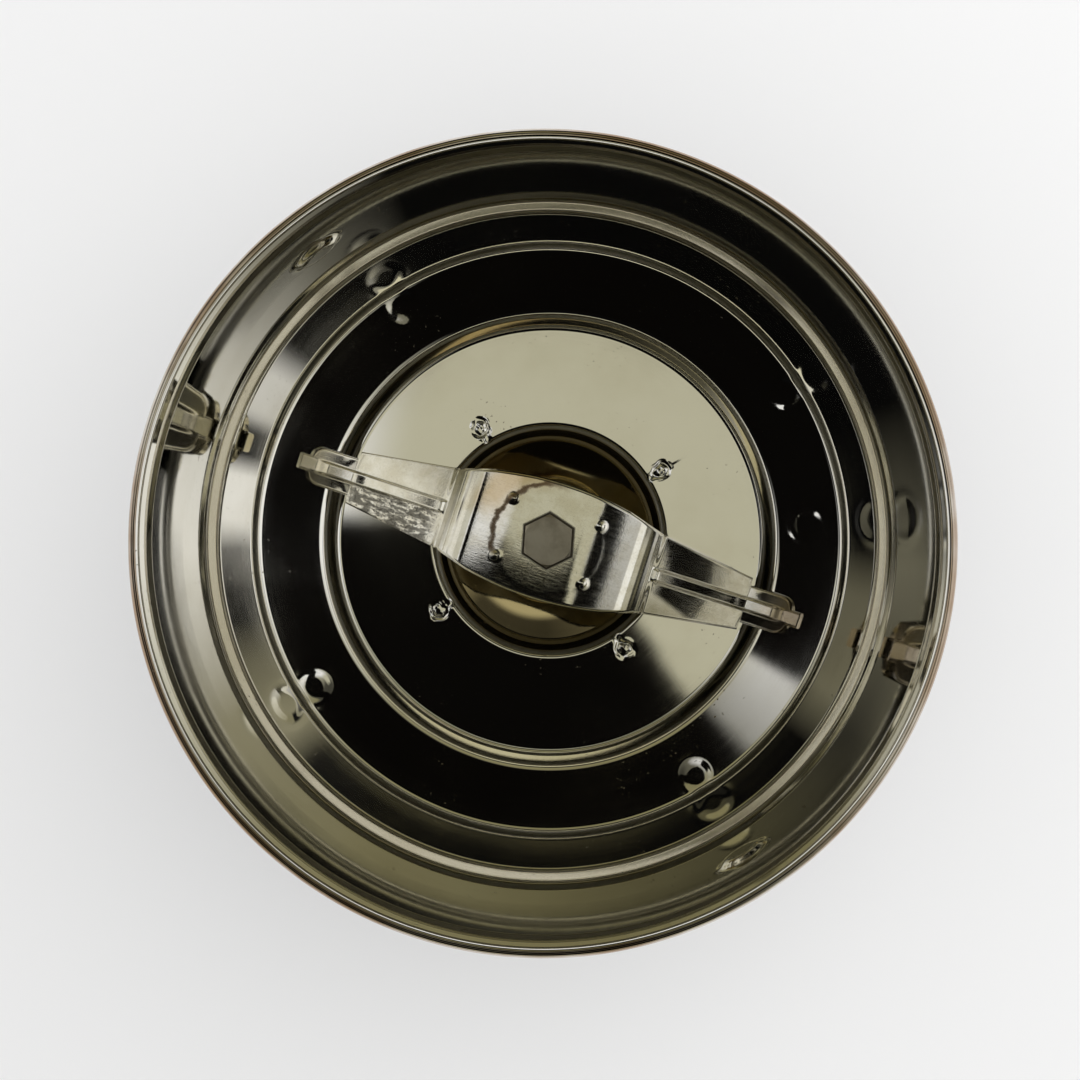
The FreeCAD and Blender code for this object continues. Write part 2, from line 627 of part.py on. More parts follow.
def make_bush(label, bottom, length):
    """Sintered bush with chamfered ends and an oil groove in its bore."""
    body = new_body(label)
    top = bottom + length
    edge = size.bush_chamfer
    middle = bottom + length / 2
    low = middle - size.oil_groove_width / 2
    high = middle + size.oil_groove_width / 2
    turn_profile(body, label + "_turning", [
        (BUSH_BORE, bottom),
        (size.bush_radius - edge, bottom),
        (size.bush_radius, bottom + edge),
        (size.bush_radius, top - edge),
        (size.bush_radius - edge, top),
        (BUSH_BORE, top),
        (BUSH_BORE, high),
        (size.oil_groove_radius, high),
        (size.oil_groove_radius, low),
        (BUSH_BORE, low),
    ])
    return body


def make_oil_seal():
    """Rubber lip seal in the top of the housing."""
    body = new_body("oil_seal")
    bottom = HOUSING_TOP - size.seal_height
    lip = size.seal_lip_width
    wall = size.seal_radius - lip
    turn_profile(body, "moulded_seal", [
        (BUSH_BORE + size.bush_clearance, bottom),
        (size.seal_radius, bottom),
        (size.seal_radius, HOUSING_TOP),
        (wall, HOUSING_TOP),
        (wall, bottom + lip),
        (BUSH_BORE + lip, bottom + lip),
        (BUSH_BORE + lip, HOUSING_TOP - lip),
        (BUSH_BORE + size.bush_clearance, HOUSING_TOP - lip),
    ])
    return body


def make_spindle():
    """Shaft with its hexagonal head over the cutter, one turned piece."""
    body = new_body("spindle")
    shaft_bottom = COUPLER_SEAT - size.thread_length
    turn_profile(body, "shaft", [
        (0, shaft_bottom),
        (size.thread_radius - size.bush_chamfer, shaft_bottom),
        (size.thread_radius, shaft_bottom + size.bush_chamfer),
        (size.thread_radius, COUPLER_SEAT),
        (size.shaft_radius, COUPLER_SEAT),
        (size.shaft_radius, BLADE_TOP),
        (0, BLADE_TOP),
    ])
    push_profile(body, "hex_head", lambda sketch: draw_outline(sketch, hexagon(size.hex_flats)),
                 BLADE_TOP, size.hex_gauge)
    top = BLADE_TOP + size.hex_gauge
    reach = size.hex_flats / ROOT_3 + size.hex_chamfer
    turn_profile(body, "head_chamfers", [
        (size.hex_flats / 2 - size.hex_chamfer / 4, top + size.hex_chamfer / 4),
        (reach, top + size.hex_chamfer / 4),
        (reach, top - size.hex_chamfer),
    ], "Groove")
    bind(body, "Placement.Rotation.Angle", size.hex_angle)
    return body


def cosine(angle):
    """Cosine of an angle in degrees."""
    return Size(math.cos(math.radians(angle.value)), f"cos({angle.formula} * 1 deg)")


def sine(angle):
    """Sine of an angle in degrees."""
    return Size(math.sin(math.radians(angle.value)), f"sin({angle.formula} * 1 deg)")


def arm_line(rise):
    """Upper line of one arm from the plate's flat middle to the tip, raised by rise."""
    reach = TIP_REACH + size.nub_length
    return [
        (size.hub_half_length, BLADE_TOP + rise, size.hub_bend),
        (size.root_half_length, BLADE_TOP - size.root_drop + rise, size.root_bend),
        (ELBOW_REACH, BLADE_TOP - size.elbow_drop + rise, size.elbow_bend),
        (reach, BLADE_TOP - size.tip_drop - TIP_SLOPE * size.nub_length + rise),
    ]


def mirrored(corners):
    """The corners on the other side of the vertical axis, in reverse order."""
    return [(-corner[0],) + tuple(corner[1:]) for corner in reversed(corners)]


def extrude_sketch(name, corners, length, upright, symmetric):
    """A solid from an outline, either upright in the XZ plane or flat in the XY plane."""
    sketch = doc.addObject("Sketcher::SketchObject", name + "_outline")
    if upright:
        sketch.Placement = FreeCAD.Placement(Vector(0, 0, 0), Rotation(Vector(1, 0, 0), 90))
    draw_outline(sketch, corners)
    solid = doc.addObject("Part::Extrusion", name)
    solid.Base = sketch
    solid.Solid = True
    solid.DirMode = "Normal"
    solid.Symmetric = symmetric
    bind(solid, "LengthFwd", length)
    return solid


def make_blade():
    """Cutter: a bent strip trimmed to its outline, with a rib pressed along each arm."""
    gauge = size.blade_gauge
    upper = mirrored(arm_line(as_size(0))) + arm_line(as_size(0))
    lower = mirrored(arm_line(-gauge)) + arm_line(-gauge)
    strip = extrude_sketch("blade_strip", upper + lower[::-1], size.blade_mid_width * 2, True, True)
    quarter = [
        (0, size.blade_mid_width / 2, size.blade_bow),
        (size.root_half_length, size.root_width / 2),
        (ELBOW_REACH, size.elbow_width / 2),
        (TIP_REACH, size.tip_width / 2, size.tip_corner),
        (TIP_REACH, size.nub_width / 2),
        (TIP_REACH + size.nub_length, size.nub_width / 2),
    ]
    far_edge = [(-corner[0],) + tuple(corner[1:]) for corner in reversed(quarter[1:])] + quarter
    near_edge = [(corner[0], -corner[1]) + tuple(corner[2:]) for corner in reversed(far_edge)]
    trim = extrude_sketch("blade_trim", far_edge + near_edge, RIM, False, False)
    blank = doc.addObject("Part::Common", "blade_blank")
    blank.Base = strip
    blank.Tool = trim

    # Rib pressed up along each arm, with its channel underneath
    raised = [blank]
    channels = []
    rib_start = size.root_half_length + size.rib_width / 2
    rib_end = TIP_REACH - size.rib_end_gap
    arm_slope = (size.elbow_drop - size.root_drop) / (ELBOW_REACH - size.root_half_length)
    start_drop = size.root_drop + arm_slope * size.rib_width / 2
    end_drop = size.tip_drop - TIP_SLOPE * size.rib_end_gap

    def rib_section(top, base, inset):
        near = rib_start + inset
        far = rib_end - inset
        return [
            (near, BLADE_TOP - start_drop + base),
            (near + size.rib_rise, BLADE_TOP - start_drop + top),
            (ELBOW_REACH, BLADE_TOP - size.elbow_drop + top, size.elbow_bend),
            (far - size.rib_rise, BLADE_TOP - end_drop + top),
            (far, BLADE_TOP - end_drop + base),
            (ELBOW_REACH, BLADE_TOP - size.elbow_drop + base, size.elbow_bend),
        ]

    for side, flip in (("a", False), ("b", True)):
        over = rib_section(size.rib_rise, -gauge / 2, as_size(0))
        under = rib_section(size.rib_rise - gauge, -gauge - gauge / 2, size.rib_rise)
        if flip:
            over, under = mirrored(over), mirrored(under)
        raised.append(extrude_sketch(f"blade_rib_{side}", over, size.rib_width, True, True))
        channels.append(extrude_sketch(f"blade_channel_{side}", under, size.channel_width, True, True))

    # Projection welds that hold the seat, two beside each arm
    for number, direction in enumerate((1, -1)):
        for side in (0, 180):
            nub = doc.addObject("Part::Cone", f"weld_nub_{number}_{side}")
            bind(nub, "Radius1", size.weld_nub_radius)
            bind(nub, "Radius2", size.weld_nub_radius / 2)
            bind(nub, "Height", size.weld_nub_rise + gauge / 4)
            angle = size.weld_nub_angle * direction + side
            bind(nub, "Placement.Base.x", size.weld_nub_circle * cosine(angle))
            bind(nub, "Placement.Base.y", size.weld_nub_circle * sine(angle))
            bind(nub, "Placement.Base.z", BLADE_TOP - gauge / 4)
            raised.append(nub)
    pressed = doc.addObject("Part::MultiFuse", "blade_pressed")
    pressed.Shapes = raised
    bore = doc.addObject("Part::Cylinder", "blade_bore")
    bind(bore, "Radius", size.shaft_radius)
    bind(bore, "Height", RIM)
    removed = doc.addObject("Part::MultiFuse", "blade_removed")
    removed.Shapes = channels + [bore]
    blade = doc.addObject("Part::Cut", "blade")
    blade.Label = "blade"
    blade.Base = pressed
    blade.Tool = removed
    bind(blade, "Placement.Rotation.Angle", size.blade_angle)
    return blade


def make_blade_seat():
    """Turned collar under the cutter, with a neck that bears on the thrust washer."""
    body = new_body("blade_seat")
    turn_profile(body, "collar", [
        (size.shaft_radius, TOP_WASHER_TOP),
        (size.seat_neck_radius, TOP_WASHER_TOP),
        (size.seat_neck_radius, SEAT_BOTTOM),
        (size.seat_radius, SEAT_BOTTOM, size.bush_chamfer),
        (size.seat_radius, BLADE_BOTTOM),
        (size.shaft_radius, BLADE_BOTTOM),
    ])
    return body


def make_coupler_insert():
    """Hexagonal metal insert that screws onto the shaft."""
    body = new_body("coupler_insert")

    def outline(sketch):
        draw_outline(sketch, hexagon(size.insert_flats))
        draw_circle(sketch, 0, 0, size.thread_radius)

    push_profile(body, "insert_blank", outline, COUPLER_SEAT - size.insert_height, size.insert_height)
    return body


def make_coupler_body():
    """Moulded drive coupler: a core with teeth around it, moulded over the insert."""
    body = new_body("coupler_body")
    height = size.coupler_height
    push_profile(body, "core", lambda sketch: draw_circle(sketch, 0, 0, size.coupler_core_radius),
                 size.coupler_bottom, height)
    half = size.tooth_width / 2
    inner = size.coupler_core_radius - size.tooth_root
    section = [
        (inner, -half), (size.coupler_radius, -half, size.tooth_corner),
        (size.coupler_radius, half, size.tooth_corner), (inner, half),
    ]
    tooth = push_profile(body, "tooth", lambda sketch: draw_outline(sketch, section),
                         size.coupler_bottom, height)
    repeat_around(body, "teeth", tooth, size.tooth_count)
    corner = size.tooth_corner
    turn_profile(body, "lead_in", [
        (size.coupler_radius - corner, size.coupler_bottom - corner / 2),
        (size.coupler_radius + corner, size.coupler_bottom - corner / 2),
        (size.coupler_radius + corner, size.coupler_bottom + corner + corner / 2),
    ], "Groove")
    pocket = COUPLER_SEAT - size.insert_height
    push_profile(body, "insert_pocket",
                 lambda sketch: draw_outline(sketch, hexagon(size.insert_flats)),
                 pocket, size.insert_height, "Pocket", False)
    push_profile(body, "shaft_recess",
                 lambda sketch: draw_circle(sketch, 0, 0, size.shaft_recess_radius),
                 size.coupler_bottom, pocket - size.coupler_bottom, "Pocket", False)
    return body


def make_base_skirt():
    """Moulded base: flared skirt, annular deck, stiffening ribs and bayonet lugs."""
    body = new_body("base_skirt")
    edge = size.skirt_edge
    inner_foot = SKIRT_RADIUS - size.skirt_gauge
    collar_top = DECK_TOP + size.collar_height
    turn_profile(body, "shell", [
        (SKIRT_RADIUS, 0, edge),
        (SKIRT_RADIUS, size.skirt_band_height, size.skirt_bend),
        (WAIST_RADIUS, DECK_TOP, size.skirt_bend),
        (COLLAR_INSIDE + size.collar_top_wall, collar_top, edge),
        (COLLAR_INSIDE, collar_top, edge),
        (COLLAR_INSIDE, DECK_TOP),
        (DECK_BORE, DECK_TOP),
        (DECK_BORE, DECK_BOTTOM),
        (WAIST_RADIUS - size.skirt_gauge, DECK_BOTTOM),
        (inner_foot, size.skirt_band_height, size.skirt_bend - size.skirt_gauge),
        (inner_foot, 0, edge),
    ])
    half = size.skirt_rib_gauge / 2
    start = WAIST_RADIUS - size.skirt_rib_length
    section = [(start, -half), (WAIST_RADIUS, -half),
               (WAIST_RADIUS, half), (start, half)]
    rib = push_profile(body, "deck_rib", lambda sketch: draw_outline(sketch, section),
                       DECK_BOTTOM, size.skirt_rib_drop, downwards=True)
    turned = as_size(180) / size.rib_count + size.base_boss_angle
    bind(rib.Profile[0], "AttachmentOffset.Rotation.Angle", turned)
    repeat_around(body, "deck_ribs", rib, size.rib_count)
    lug_inside = inner_foot - size.lug_reach
    lug_top = size.lug_bottom + size.lug_gauge
    lug = turn_profile(body, "lug", [
        (lug_inside, size.lug_bottom), (inner_foot + size.skirt_gauge / 2, size.lug_bottom),
        (inner_foot + size.skirt_gauge / 2, lug_top), (lug_inside, lug_top),
    ], angle=size.lug_arc)
    repeat_around(body, "lugs", lug, size.lug_count)
    hole = push_profile(
        body, "screw_hole",
        lambda sketch: draw_circle(sketch, BOSS_CIRCLE, 0,
                                   size.screw_radius + size.screw_hole_clearance),
        DECK_BOTTOM, size.deck_gauge, "Pocket")
    bind(hole.Profile[0], "AttachmentOffset.Rotation.Angle", size.base_boss_angle)
    repeat_around(body, "screw_holes", hole, size.base_boss_count)
    return body


def make_base_gasket():
    """Rubber ring on the deck, its upper face sloped like the annular floor over it."""
    body = new_body("base_gasket")
    inner = DECK_BORE + size.cushion_play
    outer = inner + size.cushion_width
    turn_profile(body, "moulded_ring", [
        (inner, DECK_TOP), (outer, DECK_TOP), (outer, under_annulus(outer)), (inner, under_annulus(inner)),
    ])
    return body


def make_base_boss(number):
    """Tapped boss welded under the jar's annular floor, its head shaped to the sheet."""
    body = new_body(f"base_boss_{number}")
    push_profile(body, f"boss_{number}_blank",
                 lambda sketch: draw_circle(sketch, BOSS_CIRCLE, 0, size.boss_radius),
                 DECK_TOP, CORNER - DECK_TOP)
    wall_top = level_at(size.neck_depth) - size.sheet_gauge / 2
    turn_profile(body, f"boss_{number}_seat", [
        (RECESS_OUTSIDE, ANNULUS_UNDERSIDE),
        (CORNER_OUTSIDE, CORNER - size.sheet_gauge, size.corner_bend + size.sheet_gauge),
        (NECK_RADIUS + size.sheet_gauge, wall_top),
        (RECESS_OUTSIDE, wall_top),
    ], "Groove")
    push_profile(body, f"boss_{number}_hole",
                 lambda sketch: draw_circle(sketch, BOSS_CIRCLE, 0, size.screw_radius),
                 DECK_TOP, size.screw_depth + size.bush_chamfer, "Pocket")
    bind(body, "Placement.Rotation.Angle", boss_direction(number))
    return body


def boss_direction(number):
    """Direction of a base boss and its screw."""
    return size.base_boss_angle + as_size(360 * (number - 1)) / size.base_boss_count


def make_base_screw(number):
    """Pan-head screw from below the deck into its boss."""
    body = new_body(f"base_screw_{number}")
    head = DECK_BOTTOM - size.screw_head_gauge
    tip = DECK_TOP + size.screw_depth
    turn_profile(body, f"screw_{number}_turning", [
        (0, head),
        (size.screw_head_radius, head, size.screw_head_gauge / 2),
        (size.screw_head_radius, DECK_BOTTOM),
        (size.screw_radius, DECK_BOTTOM),
        (size.screw_radius, tip - size.bush_chamfer),
        (size.screw_radius - size.bush_chamfer, tip),
        (0, tip),
    ])
    push_profile(body, f"screw_{number}_recess",
                 lambda sketch: draw_outline(sketch, cross(size.recess_length, size.recess_width)),
                 head, size.recess_depth, "Pocket")
    direction = boss_direction(number)
    bind(body, "Placement.Base.x", BOSS_CIRCLE * cosine(direction))
    bind(body, "Placement.Base.y", BOSS_CIRCLE * sine(direction))
    bind(body, "Placement.Rotation.Angle", direction)
    return body


bush_low = HOUSING_BOTTOM + size.bush_chamfer
bushes_top = HOUSING_TOP - size.seal_height
bush_length = (bushes_top - bush_low - size.oil_chamber) / 2
boss_numbers = range(1, int(size.base_boss_count.value) + 1)
pieces = [
    make_jar_body(),
    make_bearing_plate(),
    make_ring("housing_gasket", BARREL_HOLE, size.flange_radius, DISH_TOP, FLANGE_BOTTOM),
    make_bush_housing(),
    make_ring("nut_washer", BARREL_HOLE, size.washer_radius, NUT_TOP, PLATE_BOTTOM),
    make_housing_nut(),
    make_bush("upper_bush", bushes_top - bush_length, bush_length),
    make_bush("lower_bush", bush_low, bush_length),
    make_oil_seal(),
    make_spindle(),
    make_blade(),
    make_blade_seat(),
    make_ring("top_thrust_washer", BUSH_BORE, size.top_washer_radius,
              HOUSING_TOP + size.running_gap, TOP_WASHER_TOP),
    make_ring("bottom_thrust_washer", BUSH_BORE, size.bottom_washer_radius,
              COUPLER_SEAT, BOTTOM_WASHER_TOP),
    make_coupler_insert(),
    make_coupler_body(),
    make_base_skirt(),
    make_base_gasket(),
]
pieces += [make_base_boss(number) for number in boss_numbers]
pieces += [make_base_screw(number) for number in boss_numbers]
doc.recompute()

broken = [item.Name for item in doc.Objects if {"Invalid", "Error"} & set(item.State)]
for piece in pieces:
    if piece.Shape.isNull() or not piece.Shape.isValid() or len(piece.Shape.Solids) != 1:
        broken.append(piece.Label)
if broken:
    raise RuntimeError("not built: " + ", ".join(broken))

os.makedirs("parts", exist_ok=True)
for piece in pieces:
    piece.Shape.exportStep(f"parts/{piece.Label}.step")
    box = piece.Shape.BoundBox
    print(f"{piece.Label:22s} {piece.Shape.Volume:9.1f} mm3  z {box.ZMin:6.2f} to {box.ZMax:6.2f}"
          f"  reach {max(box.XMax, box.YMax, -box.XMin, -box.YMin):6.2f}")
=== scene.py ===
# %% [markdown]
# # A mixer grinder jar, seen from straight above
# The object is the jar of a kitchen grinder: a deep-drawn steel cup with a cutter that
# turns in its floor, on a moulded base with a drive coupler underneath. The rigid model
# comes in as a fixed frame. This file dresses it: it replaces the two pieces whose
# finish depends on very fine shape, and gives every other piece its own material.

# %% Load the frame
import bpy
import json
import math
import numpy as np
from mathutils import Matrix, Vector


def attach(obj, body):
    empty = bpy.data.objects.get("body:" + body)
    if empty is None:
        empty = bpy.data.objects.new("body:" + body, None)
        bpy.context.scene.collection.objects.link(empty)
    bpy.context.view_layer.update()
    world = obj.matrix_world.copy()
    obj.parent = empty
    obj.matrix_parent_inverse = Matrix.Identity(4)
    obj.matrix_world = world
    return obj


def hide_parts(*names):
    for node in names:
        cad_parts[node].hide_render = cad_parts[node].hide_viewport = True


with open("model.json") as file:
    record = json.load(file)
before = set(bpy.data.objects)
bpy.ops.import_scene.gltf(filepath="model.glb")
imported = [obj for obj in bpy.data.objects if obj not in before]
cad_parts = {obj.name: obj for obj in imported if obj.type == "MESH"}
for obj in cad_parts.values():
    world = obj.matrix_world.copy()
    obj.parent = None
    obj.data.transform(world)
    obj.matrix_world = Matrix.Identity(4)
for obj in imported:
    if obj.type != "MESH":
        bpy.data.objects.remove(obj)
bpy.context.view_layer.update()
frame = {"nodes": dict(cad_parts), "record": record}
MM = 0.001

# %% [markdown]
# ## The camera
# The photograph looks almost straight down from about 30 cm above the rim. The rings at
# different depths have different centres in it, and from those the place and the tilt
# of the camera follow. Looking almost straight down, "up" has to be given, so the
# camera's three axes are worked out and written as a rotation.

# %% Place the camera
CAMERA_PLACE = Vector((5.88, 2.75, 410.0)) * MM
CAMERA_AIM = Vector((-42 / 2080, -15 / 2080, -1))
lens = bpy.data.cameras.new("camera")
lens.lens = 69.33
lens.sensor_width = 36
lens.clip_start = 0.01
camera = bpy.data.objects.new("camera", lens)
bpy.context.scene.collection.objects.link(camera)
camera.location = CAMERA_PLACE
back = -CAMERA_AIM.normalized()
right = Vector((0, 1, 0)).cross(back).normalized()
camera.rotation_euler = Matrix((right, back.cross(right), back)).transposed().to_euler()
bpy.context.scene.camera = camera
print("camera at", tuple(round(value, 4) for value in camera.location))

# %% [markdown]
# ## A short way to write materials
# A shader is a sum of small sums: scale a noise, add a ring, keep the larger. Written
# with node calls that takes many lines. This class wraps an output socket so that
# ordinary arithmetic on it adds the Math nodes, and one method adds any other node.

# %% The socket wrapper
class Wire:
    """An output socket of a node tree. Arithmetic on it adds Math nodes."""

    def __init__(self, tree, socket=None):
        self.tree = tree
        self.socket = socket

    def node(self, kind, inputs=None, output=0, ramp=None, **settings):
        """Add a node, set it up, feed its sockets and give one of its outputs."""
        made = self.tree.nodes.new(kind)
        for name, value in settings.items():
            setattr(made, name, value)
        if ramp:
            stops = made.color_ramp.elements
            while len(stops) < len(ramp):
                stops.new(0.5)
            for stop, (place, colour) in zip(stops, ramp):
                stop.position = place
                stop.color = colour
        for name, value in (inputs or {}).items():
            self.feed(made.inputs[name], value)
        return Wire(self.tree, made.outputs[output])

    def feed(self, target, value):
        if isinstance(value, Wire):
            self.tree.links.new(value.socket, target)
        else:
            target.default_value = value

    def maths(self, operation, *terms, clamp=False):
        return self.node("ShaderNodeMath", dict(enumerate(terms)), operation=operation, use_clamp=clamp)

    def __add__(self, other):
        return self.maths("ADD", self, other)

    def __radd__(self, other):
        return self.maths("ADD", other, self)

    def __sub__(self, other):
        return self.maths("SUBTRACT", self, other)

    def __rsub__(self, other):
        return self.maths("SUBTRACT", other, self)

    def __mul__(self, other):
        return self.maths("MULTIPLY", self, other)

    def __rmul__(self, other):
        return self.maths("MULTIPLY", other, self)

    def __truediv__(self, other):
        return self.maths("DIVIDE", self, other)

    def __abs__(self):
        return self.maths("ABSOLUTE", self)

    def larger(self, other):
        return self.maths("MAXIMUM", self, other)

    def smaller(self, other):
        return self.maths("MINIMUM", self, other)

    def above(self, low, high):
        """0 under low, 1 over high, smooth in between."""
        return self.node("ShaderNodeMapRange", {0: self, 1: low, 2: high}, interpolation_type="SMOOTHSTEP")


def mix(mask, first, second):
    """Colours first and second mixed by a mask."""
    return mask.node("ShaderNodeMix", {0: mask, 6: first, 7: second}, output=2, data_type="RGBA")


def colour(red, green, blue):
    """A colour given as the photograph's 0 to 255 values, made linear."""
    def linear(value):
        value /= 255
        return value / 12.92 if value <= 0.04045 else ((value + 0.055) / 1.055) ** 2.4
    return (linear(red), linear(green), linear(blue), 1.0)


def new_material(name):
    """A material with its Principled shader, and a wire in its tree to build on."""
    material = bpy.data.materials.new(name)
    material.use_nodes = True
    tree = material.node_tree
    shader = next(node for node in tree.nodes if node.type == "BSDF_PRINCIPLED")
    place = Wire(tree).node("ShaderNodeTexCoord", output=3)
    return material, shader, place


def noise(place, scale, detail=3.0, roughness=0.5, **more):
    """A noise over a position, as a number around one half."""
    inputs = {"Vector": place, "Scale": scale, "Detail": detail, "Roughness": roughness}
    return place.node("ShaderNodeTexNoise", inputs | more)


def parts_of(place):
    """x, y and z of a position."""
    return [place.node("ShaderNodeSeparateXYZ", {0: place}, output=axis) for axis in range(3)]


def joined(x, y, z):
    """A position from its three numbers."""
    wire = next(item for item in (x, y, z) if isinstance(item, Wire))
    return wire.node("ShaderNodeCombineXYZ", {0: x, 1: y, 2: z})


def bump(height, strength, distance):
    """A surface normal from a height."""
    return height.node("ShaderNodeBump", {"Height": height, "Strength": strength, "Distance": distance})


print("materials are built with the Wire class")

# %% [markdown]
# ## Turned marks
# Drawn and polished steel carries fine rings around its axis. In a material they are a
# noise that is stretched along the circle: the position is written as the distance
# along the section and as a point on a unit circle, so there is no seam at the back.

# %% Positions around the axis
def around_axis(place):
    """Radius, height, and the cosine and sine of the direction, at a position."""
    x, y, z = parts_of(place)
    radius = place.maths("SQRT", x * x + y * y)
    safe = radius.larger(1e-5)
    return radius, z, x / safe, y / safe


def turned_rings(place, fineness, spread=2.0, detail=4.0):
    """Noise in fine rings around the axis."""
    radius, height, across, along = around_axis(place)
    section = (radius - height) * fineness
    return noise(joined(section, across * spread, along * spread), 1.0, detail, 0.65)


# %% [markdown]
# ## The drawn steel of the jar
# The jar's steel is polished like a mirror, so most of what it shows is its
# surroundings. What makes it steel and not chrome is a slight warm tint, fine rings from
# the polishing, patches that were wiped less well, small pits, and hairline scratches.

# %% Drawn steel
def drawn_steel():
    material, shader, place = new_material("drawn_steel")
    rings = turned_rings(place, 5200.0)
    smears = noise(place, 34.0, 4.0, 0.6)
    specks = noise(place, 1500.0, 2.0, 0.5).above(0.69, 0.74)
    speck_areas = noise(place, 60.0, 2.0, 0.5).above(0.5, 0.62)
    dirt = specks * speck_areas
    tint = mix(smears.above(0.35, 0.7), colour(238, 236, 229), colour(229, 226, 216))
    tint = mix(dirt, tint, colour(120, 112, 96))
    # a brown film on the outside of the rim, and an olive one in the dish
    radius, height, _, _ = around_axis(place)
    rim = radius.above(0.0587, 0.0589) * height.above(0.1045, 0.1055)
    dish = radius.above(0.0206, 0.0196)
    tint = mix(rim * smears.above(0.2, 0.6) * 0.85, tint, colour(158, 128, 98))
    tint = mix(dish * 0.85, tint, colour(208, 190, 142))
    roughness = 0.03 + smears.above(0.42, 0.75) * 0.03 + rings.above(0.3, 0.8) * 0.02 + dirt * 0.25
    shader.inputs["Metallic"].default_value = 1.0
    place.feed(shader.inputs["Base Color"], tint)
    place.feed(shader.inputs["Roughness"], roughness)
    lines = rings * 0.6 + noise(place, 900.0, 2.0) * 0.4
    place.feed(shader.inputs["Normal"], bump(lines, 0.03, 0.00002))
    return material


DRAWN_STEEL = drawn_steel()
print("made", DRAWN_STEEL.name)

# %% [markdown]
# ## The section of the jar
# A drawn cup is one sheet turned about an axis, so its shape is a line: down the inside,
# around the hole in the floor and up the outside. Corners are given with the radius of
# their bend. Straight runs get a row close to each bend, which keeps the smooth shading
# of a bend from spreading over the flat beside it. The dish in the middle has a steeper
# wall and a flatter floor than in the rigid model: only so does it reflect as it should.

# %% Points along the section
RIM_HEIGHT = 110.0
SUPPORT = 0.25


def bend_points(before, corner, after, radius, step):
    """Points of the arc that rounds a corner, from one tangent point to the other."""
    into = (corner - before) / np.linalg.norm(corner - before)
    out = (after - corner) / np.linalg.norm(after - corner)
    turn = math.atan2(into[0] * out[1] - into[1] * out[0], into @ out)
    start = corner - into * radius * math.tan(abs(turn) / 2)
    side = math.copysign(1.0, turn)
    centre = start + np.array([-into[1], into[0]]) * radius * side
    count = max(3, round(abs(turn) * radius / step))
    spoke = start - centre
    turns = [turn * k / count for k in range(count + 1)]
    return [centre + np.array([spoke[0] * math.cos(t) - spoke[1] * math.sin(t),
                               spoke[0] * math.sin(t) + spoke[1] * math.cos(t)]) for t in turns]


def section_points(corners):
    """Rows of a closed section; each corner is radius, depth, bend, row spacing."""
    places = [np.array([radius, RIM_HEIGHT - depth]) for radius, depth, _, _ in corners]
    total = len(corners)
    groups = []
    for k, (_, _, bend, spacing) in enumerate(corners):
        before, after = places[k - 1], places[(k + 1) % total]
        arc_step = min(spacing, max(0.25, bend * math.radians(9)))
        groups.append(bend_points(before, places[k], after, bend, arc_step) if bend else [places[k]])
    rows = []
    for k, group in enumerate(groups):
        rows += group
        start, end = group[-1], groups[(k + 1) % total][0]
        length = np.linalg.norm(end - start)
        spacing = corners[k][3]
        stops = set()
        if length > 3 * SUPPORT:
            stops |= {SUPPORT / length, 1 - SUPPORT / length}
            count = int(length / spacing)
            stops |= {j / (count + 1) for j in range(1, count + 1)}
        rows += [start + (end - start) * t for t in sorted(stops)]
    return np.array(rows)


JAR_SECTION = [
    # radius, depth below the rim, bend, spacing of the rows after it
    (58.40, 0.00, 0.70, 3.0), (58.40, 5.60, 0.40, 2.0), (57.80, 6.80, 0.60, 9.0),
    (57.39, 16.0, 0.00, 0.62), (56.93, 26.2, 0.00, 8.0),
    (56.30, 42.0, 2.00, 1.0), (54.30, 44.5, 2.70, 7.0),
    (52.50, 71.0, 1.50, 0.55), (40.40, 74.0, 1.90, 1.0), (38.70, 77.5, 1.20, 6.0),
    (26.00, 77.5, 0.00, 0.32), (21.90, 77.5, 0.00, 1.0),
    (20.70, 77.5, 1.50, 0.5), (18.70, 80.1, 1.40, 1.0),
    (14.50, 80.7, 60.0, 1.0), (8.00, 81.2, 0.00, 2.0),
    # around the hole and up the outside
    (8.00, 81.9, 0.00, 3.0), (14.00, 81.44, 0.00, 2.0), (19.05, 80.8, 0.80, 2.0),
    (21.10, 78.2, 1.20, 8.0), (39.40, 78.2, 1.90, 3.0),
    (41.10, 74.7, 1.20, 3.0), (53.20, 71.7, 2.20, 2.4),
    (55.00, 44.85, 2.00, 2.0), (57.00, 42.35, 2.70, 8.0),
    (57.63, 26.2, 0.00, 1.3), (58.09, 16.0, 0.00, 8.0),
    (58.50, 7.15, 0.60, 2.0), (59.10, 5.95, 0.30, 3.0),
    (59.10, 4.20, 0.00, 1.0), (60.00, 4.20, 0.30, 2.0), (60.00, 0.00, 0.70, 1.0),
]
jar_rows = section_points(JAR_SECTION)
print("the section has", len(jar_rows), "rows")

# %% [markdown]
# ## Turning the section
# The cup is one rule applied all the way round, so Geometry Nodes turn it. The input is
# the row of points; a grid as tall as the section and as wide as the number of steps
# around the axis takes its places from those points, and its open edges are merged.

